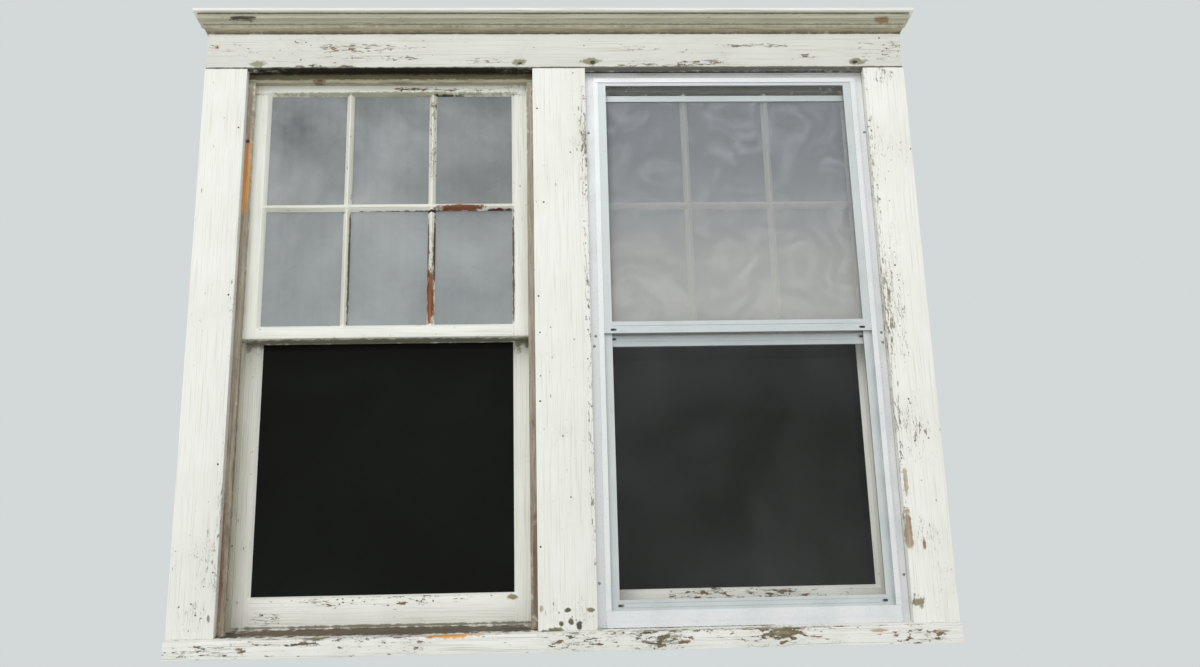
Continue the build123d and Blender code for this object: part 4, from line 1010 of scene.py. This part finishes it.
def mill_aluminium(name, metal, oxide, dulling):
    """Weathered mill aluminium, which gives the eye a chalky bloom of oxide over fine pits."""
    material, tree = new_tree(name)
    place = add_node(tree, "TexCoord", {}, out="Object")

    # Bloom in patches 80 mm across, pits with grime in them 3 mm apart
    bloom = add_node(
        tree, "TexNoise", {"Vector": place, "Scale": 12.0, "Detail": 6.0, "Roughness": 0.65}
    )
    links = {"Value": bloom, "From Min": 0.3, "From Max": 0.7, "To Min": 0.15, "To Max": dulling}
    bloom = add_node(tree, "MapRange", links)
    pit = add_node(tree, "TexNoise", {"Vector": place, "Scale": 330.0, "Detail": 3.0})
    ends = {0: bloom, 6: srgb(metal), 7: srgb(oxide)}
    colour = add_node(tree, "Mix", ends, out=2, data_type="RGBA")
    links = {"Value": pit, "From Min": 0.6, "From Max": 0.75, "To Max": 0.35}
    grime = add_node(tree, "MapRange", links)
    ends = {0: grime, 6: colour, 7: srgb("#7F8482")}
    colour = add_node(tree, "Mix", ends, out=2, data_type="RGBA")
    metallic = add_node(tree, "Math", {0: bloom, 1: -0.8, 2: 1.0}, operation="MULTIPLY_ADD")
    rough = add_node(tree, "MapRange", {"Value": bloom, "To Min": 0.32, "To Max": 0.6})
    normal = add_node(tree, "Bump", {"Height": pit, "Strength": 0.25, "Distance": 0.0003})
    links = {"Base Color": colour, "Metallic": metallic, "Roughness": rough, "Normal": normal}
    surface = add_node(tree, "BsdfPrincipled", links)
    add_node(tree, "OutputMaterial", {"Surface": surface})
    return material


storm_metal = mill_aluminium("storm_mill_aluminium", "#E1E3E4", "#E1E2E2", 0.85)
dress("storm_frame", storm_metal)

# Flange screws: pan-head steel screws that hold the storm frame's flange to the blind stops.
screw_width = 0.0075
screw_rise = 0.0016
screw_taper = 0.7
slot_width = 0.001
slot_depth = screw_rise * 0.5
slot_wall = 0.00002
flange_face = -0.0015
flange_screws = [
    (0.0789, 1.3716),
    (0.0850, 0.7950),
    (0.0810, 0.7676),
    (0.0791, 0.1632),
    (0.8380, 1.3702),
    (0.8345, 0.7960),
    (0.8360, 0.7691),
    (0.8360, 0.1693),
]
screw_steel = cast_iron("flange_screw_zinced_steel", "#9A9C9A", "#6F5C48", 0.16, 0.9)
shape = bmesh.new()
for x, z in flange_screws:
    made = round_head(
        shape, (x, flange_face, z), screw_width, screw_rise, screw_taper, sides=20
    )
    for sign in (-1, 1):
        faces = dict.fromkeys(face for corner in made for face in corner.link_faces)
        edges = dict.fromkeys(edge for face in faces for edge in face.edges)
        cut = bmesh.ops.bisect_plane(
            shape,
            geom=[*made, *edges, *faces],
            plane_co=(x, 0, z + sign * slot_width / 2),
            plane_no=(0, 0, 1),
            dist=1e-7,
        )["geom"]
        made = [part for part in cut if isinstance(part, bmesh.types.BMVert)]
    slot_faces = [
        face
        for face in dict.fromkeys(face for corner in made for face in corner.link_faces)
        if abs(face.calc_center_median().z - z) < slot_width / 4
        and face.calc_center_median().y < flange_face - screw_rise * 0.9
    ]
    bmesh.ops.inset_region(shape, faces=slot_faces, thickness=slot_wall, depth=0)
    floor_of_slot = dict.fromkeys(corner for face in slot_faces for corner in face.verts)
    bmesh.ops.translate(shape, verts=list(floor_of_slot), vec=(0, slot_depth, 0))
piece = new_piece("flange_screws", shape, [screw_steel])
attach(piece, "frame")

# Caulk: a bead of oil putty run along the foot of the storm frame where it stands on the sill.
# It has shrunk, cracked and taken up dirt, and only its left half is still there.
bead_ends = (0.080, 0.505)
bead_at = (-0.0125, 0.0535)
bead_width = 0.0032
bead_steps = 90
bead_shrink = (0.55, 1.0)
bead_crumble = (0.85, 1.0)
chance = random.Random("caulk")
shape = bmesh.new()
along_wall = Matrix.Translation((bead_ends[0], *bead_at)) @ Matrix.Rotation(
    math.radians(90), 4, "Y"
)
bmesh.ops.create_circle(
    shape, cap_ends=True, radius=bead_width / 2, segments=10, matrix=along_wall
)
end_faces = shape.faces[:]
for step in range(bead_steps):
    made = bmesh.ops.extrude_face_region(shape, geom=end_faces)["geom"]
    corners = [part for part in made if isinstance(part, bmesh.types.BMVert)]
    bmesh.ops.translate(
        shape, verts=corners, vec=((bead_ends[1] - bead_ends[0]) / bead_steps, 0, 0)
    )
    if step:
        bmesh.ops.delete(shape, geom=end_faces, context="FACES_ONLY")
    end_faces = [part for part in made if isinstance(part, bmesh.types.BMFace)]
    middle = sum((corner.co for corner in corners), Vector()) / len(corners)
    wanted = bead_width / 2 * chance.uniform(*bead_shrink)
    for corner in corners:
        out = corner.co - middle
        corner.co = middle + out.normalized() * wanted * chance.uniform(*bead_crumble)
bmesh.ops.recalc_face_normals(shape, faces=shape.faces)
old_caulk, tree = new_tree("caulk_cracked_dirty")

# Dirt: grains 4 mm across, from pale putty to black
place = add_node(tree, "TexCoord", {}, out="Object")
soil = add_node(tree, "TexNoise", {"Vector": place, "Scale": 260.0, "Detail": 4.0})
clean = add_node(tree, "MapRange", {"Value": soil, "From Min": 0.4, "From Max": 0.6})
ends = {0: clean, 6: srgb("#3B3428"), 7: srgb("#857C69")}
colour = add_node(tree, "Mix", ends, out=2, data_type="RGBA")
normal = add_node(tree, "Bump", {"Height": soil, "Strength": 0.8, "Distance": 0.0006})
links = {"Base Color": colour, "Roughness": 0.9, "Normal": normal}
surface = add_node(tree, "BsdfPrincipled", links)
add_node(tree, "OutputMaterial", {"Surface": surface})
piece = new_piece("storm_caulk", shape, [old_caulk], smooth=True)
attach(piece, "frame")

# Storm panels: extruded frames with glass or insect screen, which slide in the tracks and are
# held by a spring latch at each end of the bottom rail. Glass 2.4 mm thick, set in vinyl.
panel_metal = mill_aluminium("panel_mill_aluminium", "#C6CCCC", "#CACFCF", 0.8)
rail_metal = mill_aluminium("screen_mill_aluminium", "#C5CBCD", "#CCD1D0", 0.85)
storm_glass = window_glass(
    "storm_float_glass", "#6C716E", "#8E9394", (0.1, 1.5), "#B4B9BC", 0.14, 0.035, 0.25
)
dress("storm_upper_rails", panel_metal)
dress("storm_lower_rails", panel_metal)
dress("screen_rails", rail_metal)
dress("storm_upper_glass", storm_glass)
dress("storm_lower_glass", storm_glass)
latch_steel = cast_iron("panel_latch_steel_darkened", "#4A4A48", "#4B3F36", 0.15, 0.6)
for panel in ("storm_upper", "storm_lower", "screen"):
    for hand in hands:
        dress(f"{panel}_{hand}_latch", latch_steel)

# Insect screen: aluminium wire cloth, 1.4 mm mesh of 0.28 mm wire, spread by years of scuffs.
# Its holes are too fine to show from the street, so it reads as a grey haze with swirls.
wire_cloth, tree = new_tree("screen_aluminium_wire_cloth")
mesh_pitch = 0.0014
wire_width = 0.00028
wire_share = wire_width / mesh_pitch
place = add_node(tree, "TexCoord", {}, out="Object")
links = {0: place, 1: (1 / mesh_pitch,) * 3}
counted = add_node(tree, "VectorMath", links, operation="MULTIPLY")
fraction = add_node(tree, "VectorMath", {0: counted}, operation="FRACTION")
wires = 0.0
for axis in (0, 2):
    wire = add_node(tree, "SeparateXYZ", {"Vector": fraction}, out=axis)
    wire = add_node(tree, "Math", {0: wire, 1: wire_share}, operation="LESS_THAN")
    wires = add_node(tree, "Math", {0: wire, 1: wires}, operation="MAXIMUM")

# Scuffs in swirls 140 mm across
links = {"Vector": place, "Scale": 7.0, "Detail": 6.0, "Distortion": 2.5}
scuff = add_node(tree, "TexNoise", links)
links = {"Value": scuff, "From Min": 0.45, "From Max": 0.7, "To Max": 0.19}
scuff = add_node(tree, "MapRange", links)
cover = add_node(tree, "Math", {0: wires, 1: 0.75, 2: scuff}, operation="MULTIPLY_ADD")
ends = {0: scuff, 6: srgb("#ACAFB5"), 7: srgb("#DCDDE1")}
colour = add_node(tree, "Mix", ends, out=2, data_type="RGBA")

# Dust has washed down the cloth and lies thickest in its lower half
height = add_node(tree, "SeparateXYZ", {"Vector": place}, out=2)
links = {"Value": height, "From Min": 0.85, "From Max": 1.35, "To Min": 1.0, "To Max": 0.0}
settled = add_node(tree, "MapRange", links, interpolation_type="SMOOTHSTEP")
cover = add_node(tree, "Math", {0: settled, 1: 0.14, 2: cover}, operation="MULTIPLY_ADD")
ends = {0: settled, 6: colour, 7: srgb("#DBDAD6")}
colour = add_node(tree, "Mix", ends, out=2, data_type="RGBA")
links = {"Base Color": colour, "Roughness": 0.55, "Metallic": 0.4, "Alpha": cover}
surface = add_node(tree, "BsdfPrincipled", links)
add_node(tree, "OutputMaterial", {"Surface": surface})
dress("screen_mesh", wire_cloth)

# Stage: a pale floor below the window, which hangs above it as it would on its wall, even soft
# light, and the camera that looks up at it from the street.
floor_drop = 0.45
floor_reach = 30
floor_finish, tree = new_tree("floor_matt_paint")
surface = add_node(tree, "BsdfPrincipled", {"Base Color": srgb("#DDDEDC"), "Roughness": 0.8})
add_node(tree, "OutputMaterial", {"Surface": surface})
shape = bmesh.new()
at = Matrix.Translation((0, 0, -floor_drop))
bmesh.ops.create_grid(shape, x_segments=1, y_segments=1, size=floor_reach, matrix=at)
new_piece("floor", shape, [floor_finish])

world = bpy.data.worlds.new("studio")
bpy.context.scene.world = world
world.use_nodes = True
tree = world.node_tree
tree.nodes.clear()
fill = 0.50
seen = add_node(tree, "LightPath", {}, out="Is Camera Ray")
glossy = add_node(tree, "LightPath", {}, out="Is Glossy Ray")
through = add_node(tree, "LightPath", {}, out="Is Transmission Ray")
shown = add_node(tree, "Math", {0: seen, 1: glossy}, operation="MAXIMUM")
shown = add_node(tree, "Math", {0: shown, 1: through}, operation="MAXIMUM")
strength = add_node(tree, "MapRange", {"Value": shown, "To Min": fill, "To Max": 1.0})
ends = {0: shown, 6: (1, 1, 1, 1), 7: srgb("#D3D8D8")}
backdrop = add_node(tree, "Mix", ends, out=2, data_type="RGBA")
sky = add_node(tree, "Background", {"Color": backdrop, "Strength": strength})
add_node(tree, "OutputWorld", {"Surface": sky})

for name, towards, strength, spread in (
    ("key", (-0.35, -0.95, 1.0), 1.3, 40),
    ("from_left", (-0.8, -0.8, 0.25), 0.35, 30),
    ("from_right", (0.8, -0.8, 0.25), 0.3, 30),
    ("back", (0.5, 1.0, 0.8), 0.9, 60),
):
    lamp = bpy.data.lights.new(name, "SUN")
    lamp.energy = strength
    lamp.angle = math.radians(spread)
    piece = bpy.data.objects.new(name, lamp)
    piece.rotation_euler = Vector(towards).to_track_quat("Z", "Y").to_euler()
    bpy.context.scene.collection.objects.link(piece)

camera_at = Vector((-0.05563, -3.1495, -0.12497))
camera_yaw = math.radians(2.762)
camera_pitch = math.radians(16.393)
camera_roll = math.radians(-1.465)
forward = Vector(
    (
        math.sin(camera_yaw) * math.cos(camera_pitch),
        math.cos(camera_yaw) * math.cos(camera_pitch),
        math.sin(camera_pitch),
    )
)
level = Vector((math.cos(camera_yaw), -math.sin(camera_yaw), 0))
up = level.cross(forward)
right_of_view = math.cos(camera_roll) * level + math.sin(camera_roll) * up
up_of_view = -math.sin(camera_roll) * level + math.cos(camera_roll) * up
lens = bpy.data.cameras.new("street_view")
lens.sensor_width = 36
lens.lens = 37.96
lens.clip_start = 0.05
camera = bpy.data.objects.new("street_view", lens)
turn = Matrix((right_of_view, up_of_view, -forward)).transposed().to_4x4()
camera.matrix_world = Matrix.Translation(camera_at) @ turn
bpy.context.scene.collection.objects.link(camera)
bpy.context.scene.camera = camera
bpy.context.scene.view_settings.view_transform = "Standard"
